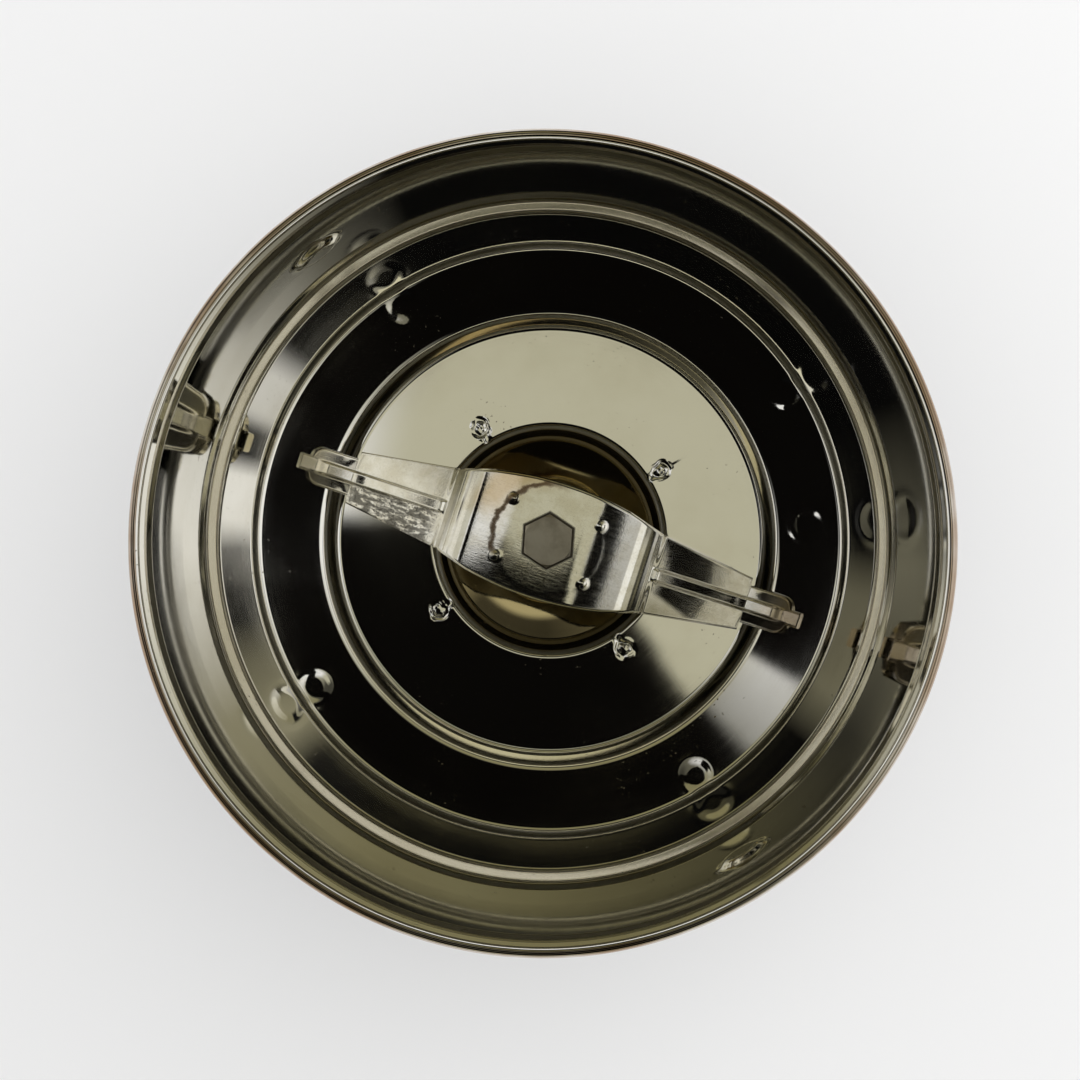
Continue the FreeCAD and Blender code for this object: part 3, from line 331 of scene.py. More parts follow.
# %% A lathe in Geometry Nodes
def lathe_tree(material):
    tree = bpy.data.node_groups.new("turned_sheet", "GeometryNodeTree")
    tree.interface.new_socket("Section", in_out="INPUT", socket_type="NodeSocketGeometry")
    steps = tree.interface.new_socket("Steps around", in_out="INPUT", socket_type="NodeSocketInt")
    tree.interface.new_socket("Geometry", in_out="OUTPUT", socket_type="NodeSocketGeometry")
    start = Wire(tree).node("NodeGroupInput")
    section = start
    steps_in = Wire(tree, start.socket.node.outputs[1])
    rows = start.node("GeometryNodeAttributeDomainSize", {0: section}, output=0)
    grid = start.node("GeometryNodeMeshGrid",
                      {"Size X": 1.0, "Size Y": 1.0, "Vertices X": rows + 1, "Vertices Y": steps_in + 1})
    index = start.node("GeometryNodeInputIndex")
    row = index.maths("FLOOR", index / (steps_in + 1))
    column = index - row * (steps_in + 1)
    row = index.maths("MODULO", row, rows)
    point = start.node("GeometryNodeSampleIndex",
                       {"Geometry": section, "Value": start.node("GeometryNodeInputPosition"), "Index": row},
                       data_type="FLOAT_VECTOR", domain="POINT")
    radius = start.node("ShaderNodeSeparateXYZ", {0: point}, output=0)
    height = start.node("ShaderNodeSeparateXYZ", {0: point}, output=2)
    angle = column / steps_in * (2 * math.pi)
    place = joined(radius * angle.maths("COSINE", angle), radius * angle.maths("SINE", angle), height)
    sheet = start.node("GeometryNodeSetPosition", {"Geometry": grid, "Position": place})
    sheet = start.node("GeometryNodeMergeByDistance", {"Geometry": sheet, "Distance": 1e-7})
    sheet = start.node("GeometryNodeSetShadeSmooth", {"Geometry": sheet})
    sheet = start.node("GeometryNodeRealizeInstances", {"Geometry": sheet})
    sheet = start.node("GeometryNodeSetMaterial", {"Geometry": sheet, "Material": material})
    finish = tree.nodes.new("NodeGroupOutput")
    tree.links.new(sheet.socket, finish.inputs[0])
    return tree, steps.identifier


def plain_object(name, mesh):
    made = bpy.data.objects.new(name, mesh)
    bpy.context.scene.collection.objects.link(made)
    return made


def applied(source, name):
    """The evaluated mesh of an object as a new plain object; the source is removed."""
    graph = bpy.context.evaluated_depsgraph_get()
    mesh = bpy.data.meshes.new_from_object(source.evaluated_get(graph))
    mesh.name = name
    old = source.data
    bpy.data.objects.remove(source)
    bpy.data.meshes.remove(old)
    return plain_object(name, mesh)


STEPS_AROUND = 640
section_mesh = bpy.data.meshes.new("jar_section")
section_mesh.from_pydata([(r * MM, 0, z * MM) for r, z in jar_rows], [], [])
section_object = plain_object("jar_section", section_mesh)
tree, steps_socket = lathe_tree(DRAWN_STEEL)
lathe = section_object.modifiers.new("lathe", "NODES")
lathe.node_group = tree
lathe[steps_socket] = STEPS_AROUND
jar = applied(section_object, "jar_sheet")
print("turned sheet:", len(jar.data.polygons), "faces,", len(jar.data.vertices), "points")

# %% [markdown]
# ## Marks in the sheet
# The sheet isn't perfect: two round bosses are pressed inwards near the rim, the welds
# of the base bosses show as shallow dimples in the corner, and the plate under the
# floor is spot welded in four places. Each is a small change in height around a point,
# so the points of the mesh move along the sheet's normal by a rule of their distance.

# %% Read and write a mesh as arrays
def places_of(mesh):
    points = np.empty(len(mesh.vertices) * 3)
    mesh.vertices.foreach_get("co", points)
    return points.reshape(-1, 3) / MM


def normals_of(mesh):
    normals = np.empty(len(mesh.vertices) * 3)
    mesh.vertices.foreach_get("normal", normals)
    return normals.reshape(-1, 3)


def set_places(mesh, points):
    mesh.vertices.foreach_set("co", (points * MM).ravel())
    mesh.update()


def volume_of(mesh):
    """Signed volume in cubic centimetres; positive when the faces point outwards."""
    points = places_of(mesh)
    mesh.calc_loop_triangles()
    corners = np.empty(len(mesh.loop_triangles) * 3, int)
    mesh.loop_triangles.foreach_get("vertices", corners)
    a, b, c = (points[corners.reshape(-1, 3)[:, k]] for k in range(3))
    return float(np.einsum("ij,ij->i", a, np.cross(b, c)).sum() / 6000)


if volume_of(jar.data) < 0:
    jar.data.flip_normals()
print("sheet volume", round(volume_of(jar.data), 2), "cm3")


def smooth(low, high, value):
    """0 at low, 1 at high, smooth in between; low may be the larger."""
    t = np.clip((value - low) / (high - low), 0, 1)
    return t * t * (3 - 2 * t)


# %% Press the marks
sheet_points = places_of(jar.data)
sheet_normals = normals_of(jar.data)
sheet_radius = np.hypot(sheet_points[:, 0], sheet_points[:, 1])


def direction(angle):
    return np.array([math.cos(math.radians(angle)), math.sin(math.radians(angle)), 0.0])


# Two bosses pressed inwards near the rim, flat on top
for angle in (128.0, 302.5):
    middle = direction(angle) * 57.16 + np.array([0, 0, RIM_HEIGHT - 21.0])
    away = np.linalg.norm(sheet_points - middle, axis=1)
    inward = -np.c_[sheet_points[:, :2] / sheet_radius[:, None], np.zeros(len(sheet_radius))]
    lift = 0.8 * smooth(4.7, 2.7, away)
    sheet_points += inward * lift[:, None]

# Dimples over the base bosses, with a low rim
inner = sheet_normals[:, 2] > -0.2
for angle in (32.0, 122.0, 212.0, 302.0):
    middle = direction(angle) * 49.4 + np.array([0, 0, RIM_HEIGHT - 71.77])
    away = np.linalg.norm(sheet_points - middle, axis=1)
    depth = -0.10 * smooth(3.2, 1.6, away) + 0.02 * np.exp(-((away - 3.3) / 0.5) ** 2)
    sheet_points += sheet_normals * (depth * inner)[:, None]

# A ring left by a tool in the corner
middle = direction(3.5) * 46.4 + np.array([0, 0, RIM_HEIGHT - 72.51])
away = np.linalg.norm(sheet_points - middle, axis=1)
sheet_points += sheet_normals * (-0.05 * np.exp(-((away - 3.0) / 0.7) ** 2) * inner)[:, None]

# Spot welds beside the dish: an uneven ring with a burr, and a pinch towards the dish
for number, angle in enumerate((32.0, 121.6, 212.5, 304.5)):
    outward = direction(angle)
    middle = outward * 23.9 + np.array([0, 0, RIM_HEIGHT - 77.5])
    offset = sheet_points - middle
    away = np.linalg.norm(offset, axis=1)
    along_out = offset @ outward
    turn = np.arctan2(offset[:, 1], offset[:, 0]) + number * 1.9
    radius = 1.25 + 0.16 * np.sin(2 * turn + number) + 0.08 * np.sin(5 * turn)
    ring = -(0.13 + 0.07 * np.sin(turn)) * np.exp(-((away - radius) / 0.26) ** 2)
    burr = 0.07 * np.sin(3 * turn) * np.exp(-((away - radius - 0.45) / 0.22) ** 2)
    crown = 0.05 * np.sin(offset[:, 0] * 5.1 + number) * np.sin(offset[:, 1] * 4.3) * smooth(1.2, 0.6, away)
    across = np.abs(offset[:, 1] * outward[0] - offset[:, 0] * outward[1])
    pinch = -0.09 * smooth(0.9, 0.2, across) * smooth(-3.4, -2.6, along_out) * smooth(-0.9, -1.7, along_out)
    sheet_points += sheet_normals * ((ring + burr + crown + pinch) * inner)[:, None]

set_places(jar.data, sheet_points)
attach(jar, "jar")
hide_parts("jar_body")
print("marks pressed into", jar.name)

# %% [markdown]
# ## The cutter
# The cutter is a strip of steel, 1.5 mm thick. Its middle is flat as far as a circle
# around the shaft, then it bends down to a straight crease at the root of each arm. An
# arm has two flat flanks beside a pressed rib, an elbow, and a curved tip with a small
# tongue. All of that is a height over a plan, so the mesh is a grid in plan, with its
# rows on the creases, and the height is worked out for each point.

# %% Outline and height of the cutter
BLADE_TOP = 48.5
BLADE_GAUGE = 1.5
BLADE_TURN = math.radians(162.1)
FLAT_RADIUS = 9.6
# distances from the middle, then the drop and half the width there
ROOT, ELBOW, TIP, NUB = 18.7, 36.6, 44.4, 46.3
ROOT_DROP, ELBOW_DROP, TIP_DROP = 2.6, 7.2, 7.9
ROOT_HALF, ELBOW_HALF, TIP_HALF, NUB_HALF = 7.3, 4.8, 3.1, 1.4
# the middle's straight sides would meet at the first half width; the bow cuts them off
CROSSING_HALF, BOWED_HALF, BOW_RADIUS = 12.7, 10.4, 60.0
# length of the tip's rounded end, its least half width, and how much the round adds
TIP_ROUND, TIP_END_HALF, TIP_ROUND_ADDS = 2.2, 1.5, 1.9


def blade_half_width(s):
    """Half the cutter's width at a distance s along it."""
    s = abs(s)
    if s < ROOT:
        # the bowed side of the plate runs out into its straight ends
        straight = CROSSING_HALF - (CROSSING_HALF - ROOT_HALF) * s / ROOT
        bowed = math.sqrt(BOW_RADIUS ** 2 - s ** 2) - BOW_RADIUS + BOWED_HALF
        return min(straight, bowed) if s < 12 else straight
    if s < ELBOW:
        return ROOT_HALF + (ELBOW_HALF - ROOT_HALF) * (s - ROOT) / (ELBOW - ROOT)
    if s < TIP:
        width = ELBOW_HALF + (TIP_HALF - ELBOW_HALF) * (s - ELBOW) / (TIP - ELBOW)
        past = max(0.0, s - (TIP - TIP_ROUND)) / TIP_ROUND
        return min(width, TIP_END_HALF + TIP_ROUND_ADDS * math.sqrt(max(0.0, 1 - past * past)))
    return NUB_HALF


def fall_from(stops):
    """How far the plate has fallen at each distance, from slopes in degrees."""
    reach = np.linspace(0, ROOT, 400)
    slopes = np.tan(np.radians(np.interp(reach, *zip(*stops))))
    fallen = np.concatenate([[0], np.cumsum((slopes[1:] + slopes[:-1]) / 2 * np.diff(reach))])
    return reach, fallen * ROOT_DROP / fallen[-1]


RIGHT_FALL = fall_from([(0, 0), (5, 0), (8, 5.4), (14, 7.2), (ROOT, 30)])
LEFT_FALL = fall_from([(0, 0), (5, 0), (8, 2.4), (13.5, 3.4), (ROOT, 36)])


def blade_height(s, v):
    """Height of the upper face at s along and v across, as arrays."""
    on_left = smooth(3.0, -3.0, -s)
    circle = smooth(FLAT_RADIUS - 0.4, FLAT_RADIUS + 0.4, np.hypot(s, v))
    s = np.abs(s)
    hub = -(np.interp(s, *LEFT_FALL) * on_left + np.interp(s, *RIGHT_FALL) * (1 - on_left))
    hub -= 0.012 * circle
    arm = -ROOT_DROP - (ELBOW_DROP - ROOT_DROP) * (s - ROOT) / (ELBOW - ROOT)
    reach = np.clip((s - ELBOW) / (TIP - ELBOW), 0, 1.3)
    tip = -ELBOW_DROP - (TIP_DROP - ELBOW_DROP) * reach
    z = np.where(s < ROOT, hub, np.where(s < ELBOW, arm, tip))
    # flanks fall away from the rib, a little on the arm and more at the tip
    fall = 0.085 * smooth(ROOT, ROOT + 1.0, s) + 0.10 * smooth(ELBOW - 0.5, ELBOW + 3.0, s)
    z -= fall * np.maximum(np.abs(v) - 1.0, 0)
    # the rib, a flat-topped ridge with sloping sides, ending in the tip
    ridge = smooth(1.35, 0.75, np.abs(v))
    ridge *= smooth(ROOT + 0.2, ROOT + 1.4, s) * smooth(TIP - 0.6, TIP - 3.5, s)
    z += (0.5 + 0.1 * smooth(ELBOW - 3, ELBOW, s)) * ridge
    return z


def stations(marks):
    """Values from marks (value, step after it)."""
    found = []
    for (value, step), (following, _) in zip(marks, marks[1:]):
        count = max(1, round((following - value) / step))
        found += [value + (following - value) * k / count for k in range(count)]
    return found + [marks[-1][0]]


half_stations = stations([
    (0, 0.7), (5, 0.45), (8, 0.3), (ROOT - 1.2, 0.2), (ROOT - 0.12, 0.12), (ROOT + 0.12, 0.2),
    (ROOT + 1.6, 1.0), (ELBOW - 3.0, 0.4), (ELBOW - 0.25, 0.125), (ELBOW + 0.25, 0.25),
    (TIP - 3.6, 0.25), (TIP - 0.05, 0.05), (TIP + 0.05, 0.3), (NUB, 1),
])
along = [-s for s in reversed(half_stations[1:])] + half_stations
side_steps = np.concatenate([
    [-1, -0.985, -0.96], np.linspace(-0.93, -0.3, 20), np.linspace(-0.28, 0.28, 29),
    np.linspace(0.3, 0.93, 20), [0.96, 0.985, 1],
])
print("the cutter's grid has", len(along), "by", len(side_steps), "points")

# %% [markdown]
# ## Building the cutter's mesh
# The grid is made twice, for the upper and the lower face, and stitched along its
# outline. The upper edge gets a narrow ground bevel, which is the thin bright line that
# runs along the arms. The hole for the shaft stays hidden under its head.

# %% The cutter's mesh
def blade_mesh(name):
    rows, columns = len(along), len(side_steps)
    s = np.repeat(np.array(along), columns)
    width = np.repeat([blade_half_width(value) for value in along], columns)
    v = np.tile(side_steps, rows) * width
    z = blade_height(s, v)
    edge = width - np.abs(v)
    bevel = 0.16 * smooth(0.32, 0.0, edge)
    nubs = np.zeros(len(s))
    for sx in (1, -1):
        for sy in (1, -1):
            away = np.hypot(s - sx * 8.05, v - sy * 5.23)
            nubs += 0.22 * smooth(1.05, 0.15, away)
    top = np.c_[s, v, BLADE_TOP + z - bevel + nubs]
    low = np.c_[s, v, BLADE_TOP + z - BLADE_GAUGE]
    points = np.vstack([top, low])
    c, d = math.cos(BLADE_TURN), math.sin(BLADE_TURN)
    turned = np.c_[points[:, 0] * c - points[:, 1] * d, points[:, 0] * d + points[:, 1] * c, points[:, 2]]
    total = rows * columns
    grid = np.arange(total).reshape(rows, columns)
    faces = []
    for i in range(rows - 1):
        for j in range(columns - 1):
            a, b, e, f = grid[i, j], grid[i + 1, j], grid[i + 1, j + 1], grid[i, j + 1]
            faces.append((a, b, e, f))
            faces.append((f + total, e + total, b + total, a + total))
    for i in range(rows - 1):
        for j, flip in ((0, True), (columns - 1, False)):
            a, b = grid[i, j], grid[i + 1, j]
            quad = (a, b, b + total, a + total)
            faces.append(quad[::-1] if flip else quad)
    for j in range(columns - 1):
        for i, flip in ((0, False), (rows - 1, True)):
            a, b = grid[i, j], grid[i, j + 1]
            quad = (a, b, b + total, a + total)
            faces.append(quad[::-1] if flip else quad)
    mesh = bpy.data.meshes.new(name)
    mesh.from_pydata([tuple(p) for p in turned * MM], [], faces)
    mesh.validate()
    mesh.polygons.foreach_set("use_smooth", [True] * len(mesh.polygons))
    return mesh


cutter = plain_object("cutter", blade_mesh("cutter"))
if volume_of(cutter.data) < 0:
    cutter.data.flip_normals()
cutter.data.set_sharp_from_angle(angle=math.radians(40))
print("cutter:", len(cutter.data.polygons), "faces, volume", round(volume_of(cutter.data), 2), "cm3")

# %% [markdown]
# ## The cutter's steel
# The cutter's plate is bright but worn: heat from welding has left brown stains beside
# the circle where it is flat, the flanks are speckled, and there are scratches around
# the head of the shaft. The pattern is laid out along the cutter, so the position is
# first turned by the cutter's angle.

# %% Blade steel
def along_blade(place):
    """Position along and across the cutter, in millimetres."""
    x, y, z = parts_of(place)
    c, d = math.cos(BLADE_TURN), math.sin(BLADE_TURN)
    return (x * c + y * d) * 1000.0, (y * c - x * d) * 1000.0, z * 1000.0


def blade_steel():
    material, shader, place = new_material("blade_steel")
    s, v, z = along_blade(place)
    spot = joined(s, v, z)
    radius = place.maths("SQRT", s * s + v * v)
    streaks = noise(joined(s * 0.35, v * 3.0, 0.0), 1.0, 4.0, 0.6)
    cloud = noise(spot, 0.32, 4.0, 0.6)
    specks = noise(spot, 3.2, 3.0, 0.6)
    # a brown arc on the left half of the circle, and a heat tint beyond it
    left = s.above(-2.0, 4.0)
    wobble = (noise(spot, 0.7, 3.0) - 0.5) * 1.6
    arc = (1 - abs(radius - 9.9 + wobble).above(0.1, 0.75)) * left * v.above(6.0, 4.0)
    heat = (1 - abs(radius - 12.6).above(0.8, 4.6)) * left * v.above(1.0, -5.0)
    # a dark brown band in the angle between the head and the plate, and darker patches on the lower left
    # flank
    x, y, _ = parts_of(place)
    flats = [abs(x * math.cos(turn) + y * math.sin(turn)) for turn in map(math.radians, (-4, 56, 116))]
    from_head = flats[0].larger(flats[1]).larger(flats[2]) * 1000 - 4.15
    collar = 1 - (from_head + wobble * 0.1).above(0.12, 0.55)
    flank = s.above(19.0, 22.0) * v.above(0.6, 1.6) * s.above(37.0, 35.0)
    darker_flank = flank * noise(joined(s * 0.5, v * 1.2, 7.0), 1.0, 3.0).above(0.36, 0.56)
    specked = specks.above(0.52, 0.62) * (flank * 0.9 + 0.06)
    scratched = noise(joined(s * 2.6, v * 0.5, 3.0), 1.0, 3.0, 0.7).above(0.6, 0.68)
    scratched = scratched * (1 - (radius - 7.4).above(0.4, 2.4)) * v.above(3.0, 4.6)
    tip = abs(s).above(ELBOW + 0.4, TIP)
    tint = mix(cloud.above(0.35, 0.7), colour(236, 234, 226), colour(222, 218, 204))
    tint = mix(heat * 0.7, tint, colour(196, 170, 118))
    tint = mix(arc * 0.8, tint, colour(104, 72, 36))
    tint = mix(darker_flank * 0.85, tint, colour(78, 76, 70))
    tint = mix(specked, tint, colour(74, 70, 60))
    tint = mix(tip * 0.6, tint, mix(s.above(-2.0, 2.0), colour(150, 120, 74), colour(204, 194, 160)))
    tint = mix(collar * 0.9, tint, colour(46, 34, 20))
    tint = mix(scratched * 0.8, tint, colour(60, 56, 50))
    roughness = 0.05 + streaks.above(0.4, 0.8) * 0.05 + specked * 0.2
    roughness = roughness + arc * 0.2 + collar * 0.3 + tip * 0.12
    shader.inputs["Metallic"].default_value = 1.0
    place.feed(shader.inputs["Base Color"], tint)
    place.feed(shader.inputs["Roughness"], roughness)
    relief = streaks * 0.3 + specks * 0.3 + cloud * 0.4
    place.feed(shader.inputs["Normal"], bump(relief, 0.22, 0.00003))
    return material


BLADE_STEEL = blade_steel()
cutter.data.materials.append(BLADE_STEEL)
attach(cutter, "rotor")
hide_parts("blade")
print("made", BLADE_STEEL.name)

# %% [markdown]
# ## Finishes of the other pieces
# Each remaining piece keeps its shape from the rigid model and gets a finish of its own.
# Turned and plated metals share one recipe with different tints, ring marks and
# roughness; moulded plastics and rubber share another.

# %% Turned metals
def turned_metal(name, light, dark, roughness, fineness, relief):
    material, shader, place = new_material(name)
    rings = turned_rings(place, fineness)
    cloud = noise(place, 180.0, 4.0, 0.6)
    grain = noise(place, 2600.0, 2.0, 0.6)
    tint = mix(cloud.above(0.38, 0.68), colour(*light), colour(*dark))
    shader.inputs["Metallic"].default_value = 1.0
    place.feed(shader.inputs["Base Color"], tint)
    place.feed(shader.inputs["Roughness"], roughness + rings * 0.12 + cloud.above(0.5, 0.8) * 0.1)
    place.feed(shader.inputs["Normal"], bump(rings * 0.7 + grain * 0.3, relief, 0.00004))
    return material


def moulded(name, light, dark, roughness, grain_scale, relief):
    material, shader, place = new_material(name)
    cloud = noise(place, 60.0, 4.0, 0.6)
    grain = noise(place, grain_scale, 3.0, 0.55)
    tint = mix(cloud.above(0.35, 0.7), colour(*light), colour(*dark))
    place.feed(shader.inputs["Base Color"], tint)
    place.feed(shader.inputs["Roughness"], roughness + cloud.above(0.4, 0.8) * 0.12 + grain * 0.08)
    place.feed(shader.inputs["Normal"], bump(grain, relief, 0.00005))
    return material


METALS = [
    # name, light and dark tint, roughness, fineness of the rings, relief
    ("spindle_steel", (196, 190, 178), (168, 160, 146), 0.24, 2600.0, 0.35),
    ("plated_steel", (200, 200, 198), (172, 170, 164), 0.26, 3000.0, 0.2),
    ("housing_alloy", (190, 190, 188), (160, 160, 158), 0.34, 2400.0, 0.2),
    ("bush_bronze", (196, 150, 92), (160, 118, 70), 0.36, 3000.0, 0.2),
    ("insert_brass", (214, 178, 104), (186, 148, 82), 0.28, 3000.0, 0.2),
]
MOULDINGS = [
    # name, light and dark tint, roughness, fineness of the grain, relief
    ("black_rubber", (30, 30, 30), (22, 22, 22), 0.62, 900.0, 0.3),
    ("white_nylon", (222, 218, 206), (206, 200, 186), 0.42, 900.0, 0.3),
    ("coupler_plastic", (34, 34, 35), (26, 26, 27), 0.40, 900.0, 0.3),
    ("base_plastic", (38, 38, 40), (30, 30, 32), 0.34, 1400.0, 0.18),
]
FINISHES = {name: turned_metal(name, *recipe) for name, *recipe in METALS}
FINISHES |= {name: moulded(name, *recipe) for name, *recipe in MOULDINGS}
FINISHES |= {"drawn_steel": DRAWN_STEEL, "blade_steel": BLADE_STEEL}
print("finishes:", ", ".join(FINISHES))

# %% Finishes on the frame's pieces
slot_of = {part["node"]: part["material_slot"] for part in frame["record"]["subparts"]}
for node_name, piece in frame["nodes"].items():
    finish = FINISHES[slot_of[node_name]]
    piece.data.materials.clear()
    piece.data.materials.append(finish)
print({node_name: slot_of[node_name] for node_name in sorted(slot_of)})

# %% [markdown]
# ## The room
# A mirror shows the room around it, so the room is most of this picture. Every part of
# the jar sends the camera's line of sight off at its own slope: the flat floor nearly
# straight back up, the walls after two or three bounces far out to the side. Two level
# cards stand in for the room. The far one is painted by direction, in bands of slope.
# The near one is a dark shade right above the jar, for the black half of the floor and
# the black rings. The camera doesn't see either card, and the floor gets no light from
# them.

# %% A painted card overhead
def unseen(made):
    """Keep a card out of the camera's view and out of the diffuse light."""
    made.visible_camera = False
    made.visible_diffuse = False
    made.visible_shadow = False
    return made


def level_card(name, half, height, material):
    """A square card facing down, its half width and height in millimetres."""
    mesh = bpy.data.meshes.new(name)
    corners = [(-half, -half), (-half, half), (half, half), (half, -half)]
    mesh.from_pydata([(x * MM, y * MM, height * MM) for x, y in corners], [], [(0, 1, 2, 3)])
    mesh.materials.append(material)
    return unseen(plain_object(name, mesh))


def shader_tree(name):
    """An empty material tree with its output, and a wire at the object's coordinates."""
    material = bpy.data.materials.new(name)
    material.use_nodes = True
    tree = material.node_tree
    tree.nodes.clear()
    output = tree.nodes.new("ShaderNodeOutputMaterial")
    return material, output, Wire(tree).node("ShaderNodeTexCoord", output=3)


def warm_grey(level, warmth):
    return colour(level, level * (1 - 0.02 * warmth), level * (1 - 0.14 * warmth))


def around(turn, stops):
    """A colour that changes with the direction; each stop is degrees, level, warmth."""
    places = sorted((((angle + 180) % 360) / 360, warm_grey(level, warmth))
                    for angle, level, warmth in stops)
    first, last = places[0], places[-1]
    gap = first[0] + 1 - last[0]
    share = (1 - last[0]) / gap
    seam = tuple(b * (1 - share) + a * share for a, b in zip(first[1], last[1]))
    return turn.node("ShaderNodeValToRGB", {0: turn}, ramp=[(0.0, seam)] + places + [(1.0, seam)])


# %% What each slope sees
ROOM_HEIGHT = 2110.0
CEILING = colour(190, 187, 165)
ROOM_BANDS = [
    # first slope, last slope of the change, then degrees, level and warmth
    (0.13, 0.18, [(0, 240, 0), (25, 150, 1), (45, 70, 1), (100, 60, 1), (135, 100, 1), (165, 235, 0),
                  (190, 240, 0), (225, 130, 1), (270, 80, 1), (315, 125, 1)]),
    (0.40, 0.44, [(0, 255, 0), (25, 190, 0.5), (45, 140, 1.5), (60, 135, 2), (130, 130, 2),
                  (148, 150, 1), (158, 205, 0.5), (172, 205, 0.5), (182, 64, 1), (200, 10, 0),
                  (290, 10, 0), (312, 170, 0.6), (335, 250, 0.2)]),
    (0.555, 0.595, [(0, 255, 0), (25, 220, 0.5), (50, 145, 1.8), (90, 138, 2), (135, 140, 2),
                    (150, 195, 0.6), (172, 205, 0.5), (182, 140, 0), (200, 10, 0), (290, 10, 0),
                    (312, 160, 0.6), (335, 250, 0.2)]),
    (0.80, 0.84, [(0, 252, 0), (30, 150, 1.2), (60, 130, 1.8), (90, 112, 2), (120, 80, 2),
                  (150, 48, 1), (178, 110, 1), (188, 70, 1), (202, 9, 0), (290, 9, 0),
                  (305, 100, 0.6), (330, 205, 0.2)]),
    (0.955, 0.965, [(0, 120, 0), (8, 24, 0), (14, 24, 0), (22, 110, 1.2), (36, 150, 1.2),
                    (44, 24, 0), (60, 10, 0), (145, 8, 0), (155, 120, 1.2), (172, 100, 1.2),
                    (180, 8, 0), (280, 6, 0), (320, 14, 0), (326, 220, 0), (334, 220, 0),
                    (337, 40, 0), (342, 40, 0), (346, 250, 0), (355, 250, 0)]),
    (1.075, 1.085, [(0, 255, 0), (25, 215, 0.5), (45, 150, 1), (90, 62, 1.5), (135, 26, 1),
                    (180, 40, 0), (200, 14, 0), (280, 10, 0), (312, 150, 0.6), (335, 250, 0.2)]),
    (1.16, 1.24, [(0, 255, 0), (45, 60, 1), (70, 14, 0), (120, 14, 0), (150, 40, 1),
                  (172, 200, 0), (188, 235, 0), (225, 225, 1), (300, 225, 1), (330, 190, 0.8)]),
    (1.55, 1.65, [(0, 235, 0), (30, 14, 0), (110, 10, 0), (140, 150, 1), (180, 235, 0),
                  (215, 150, 1.2), (235, 30, 1), (300, 20, 1), (330, 120, 1.2)]),
]


def room_paint():
    material, output, place = shader_tree("room_paint")
    reach = (ROOM_HEIGHT - RIM_HEIGHT) * MM
    x, y, _ = parts_of(place)
    x, y = x / reach - 0.03, y / reach - 0.015
    slope = place.maths("SQRT", x * x + y * y)
    turn = place.maths("ARCTAN2", y, x) / (2 * math.pi) + 0.5
    paint = CEILING
    for start, end, stops in ROOM_BANDS:
        paint = mix(slope.above(start, end), paint, around(turn, stops))
    light = place.node("ShaderNodeEmission", {"Color": paint, "Strength": 1.0})
    place.feed(output.inputs["Surface"], light)
    return material


level_card("room_card", 5200, ROOM_HEIGHT, room_paint())
print("the far card has", len(ROOM_BANDS), "bands")

# %% The dark shape above the jar
NEAR_HEIGHT = 412.0


def near_shade():
    material, output, place = shader_tree("near_shade")
    x, y, _ = parts_of(place)
    x, y = x / MM, y / MM
    wander = (noise(place, 22.0, 3.0, 0.6) - 0.5) * 12
    from_mirror_x, from_mirror_y = x + CAMERA_PLACE.x / MM, y + CAMERA_PLACE.y / MM
    radius = place.maths("SQRT", from_mirror_x * from_mirror_x + from_mirror_y * from_mirror_y)
    turn = place.maths("ARCTAN2", from_mirror_y, from_mirror_x) / (2 * math.pi) * 360
    # past a line near the middle, on one side of a slanted edge
    slanted = (x - 14) + (y + 18).smaller(0) * 0.72
    # the line steps back around the point where the camera sees its own mirror image
    dip = (1 - abs(from_mirror_x) / 42).larger(0) * 18
    body = (y + dip + wander).above(11, 1) * (slanted + wander).above(4, -4) * radius.above(140, 128)
    # two arcs around that point, for the black rings
    upper = radius.above(78, 80) * radius.above(118, 113)
    upper = upper * turn.above(-62, -58) * turn.above(136, 131)
    lower = radius.above(78, 80) * radius.above(128, 122)
    lower = lower * (1 - turn.above(-40, -37) * turn.above(152, 149))
    dark = body.larger(upper).larger(lower)
    shade = place.node("ShaderNodeEmission", {"Color": colour(7, 6, 5), "Strength": 1.0})
    clear = place.node("ShaderNodeBsdfTransparent")
    surface = place.node("ShaderNodeMixShader", {0: dark, 1: clear, 2: shade})
    place.feed(output.inputs["Surface"], surface)
    return material


level_card("near_card", 150, NEAR_HEIGHT, near_shade())
print("the near card is at", NEAR_HEIGHT, "mm")

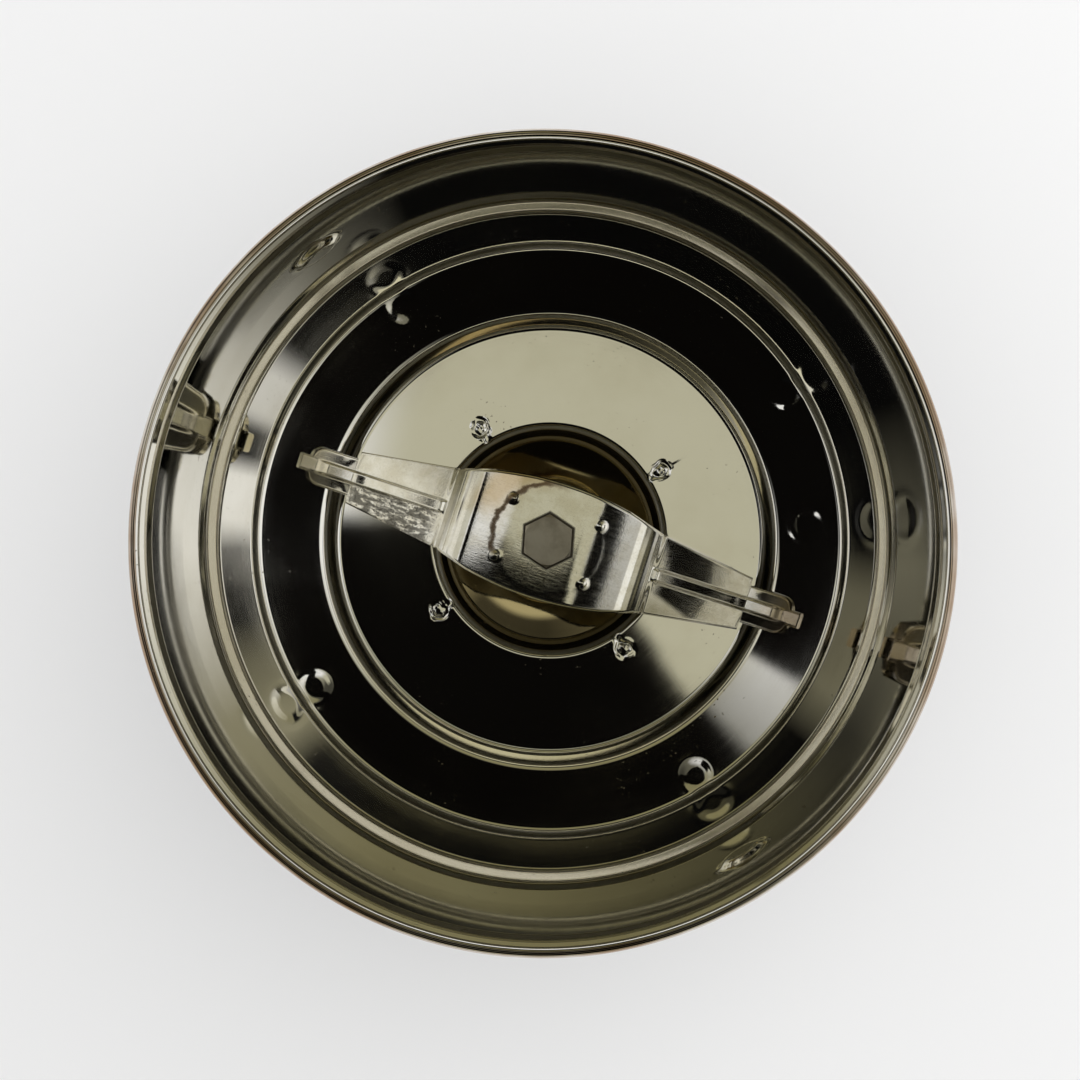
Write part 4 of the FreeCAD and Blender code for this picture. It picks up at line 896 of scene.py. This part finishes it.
# %% Floor, world and key light
FLOOR_HALF = 1500 * MM
floor_mesh = bpy.data.meshes.new("floor")
floor_mesh.from_pydata([(-FLOOR_HALF, -FLOOR_HALF, 0), (FLOOR_HALF, -FLOOR_HALF, 0),
                        (FLOOR_HALF, FLOOR_HALF, 0), (-FLOOR_HALF, FLOOR_HALF, 0)], [], [(0, 1, 2, 3)])
floor = plain_object("floor", floor_mesh)
floor_material, floor_shader, floor_place = new_material("floor")
across, along_y, _ = parts_of(floor_place)
sweep = (across + along_y + noise(floor_place, 2.2, 2.0, 0.4) * 0.1).above(-0.35, 0.35)
floor_place.feed(floor_shader.inputs["Base Color"], mix(sweep, colour(238, 238, 238), colour(253, 253, 253)))
floor_shader.inputs["Roughness"].default_value = 0.9
floor_shader.inputs["Specular IOR Level"].default_value = 0.1
floor_mesh.materials.append(floor_material)

world = bpy.data.worlds.new("world")
world.use_nodes = True
bpy.context.scene.world = world
world_tree = world.node_tree
background = next(node for node in world_tree.nodes if node.type == "BACKGROUND")
camera_ray = Wire(world_tree).node("ShaderNodeLightPath")
glossy_ray = Wire(world_tree, camera_ray.socket.node.outputs["Is Glossy Ray"])
through_ray = Wire(world_tree, camera_ray.socket.node.outputs["Is Transmission Ray"])
seen = camera_ray.maths("ADD", camera_ray + glossy_ray, through_ray, clamp=True)
camera_ray.feed(background.inputs["Strength"], seen * 0.95 + (1 - seen) * 0.9)
background.inputs["Color"].default_value = colour(250, 250, 250)


def soft_light(name, place, aim, size, power, tint=(255, 255, 255)):
    lamp = bpy.data.lights.new(name, "AREA")
    lamp.shape = "DISK"
    lamp.size = size
    lamp.energy = power
    lamp.color = colour(*tint)[:3]
    made = bpy.data.objects.new(name, lamp)
    bpy.context.scene.collection.objects.link(made)
    made.location = Vector(place) * MM
    made.rotation_euler = (Vector(aim) - Vector(place)).to_track_quat("-Z", "Y").to_euler()
    made.visible_glossy = False
    return made


soft_light("key", (500, 400, 1500), (0, 0, 60), 1.4, 5.0)
bpy.context.scene.view_settings.view_transform = "Standard"
print("the room is in place")
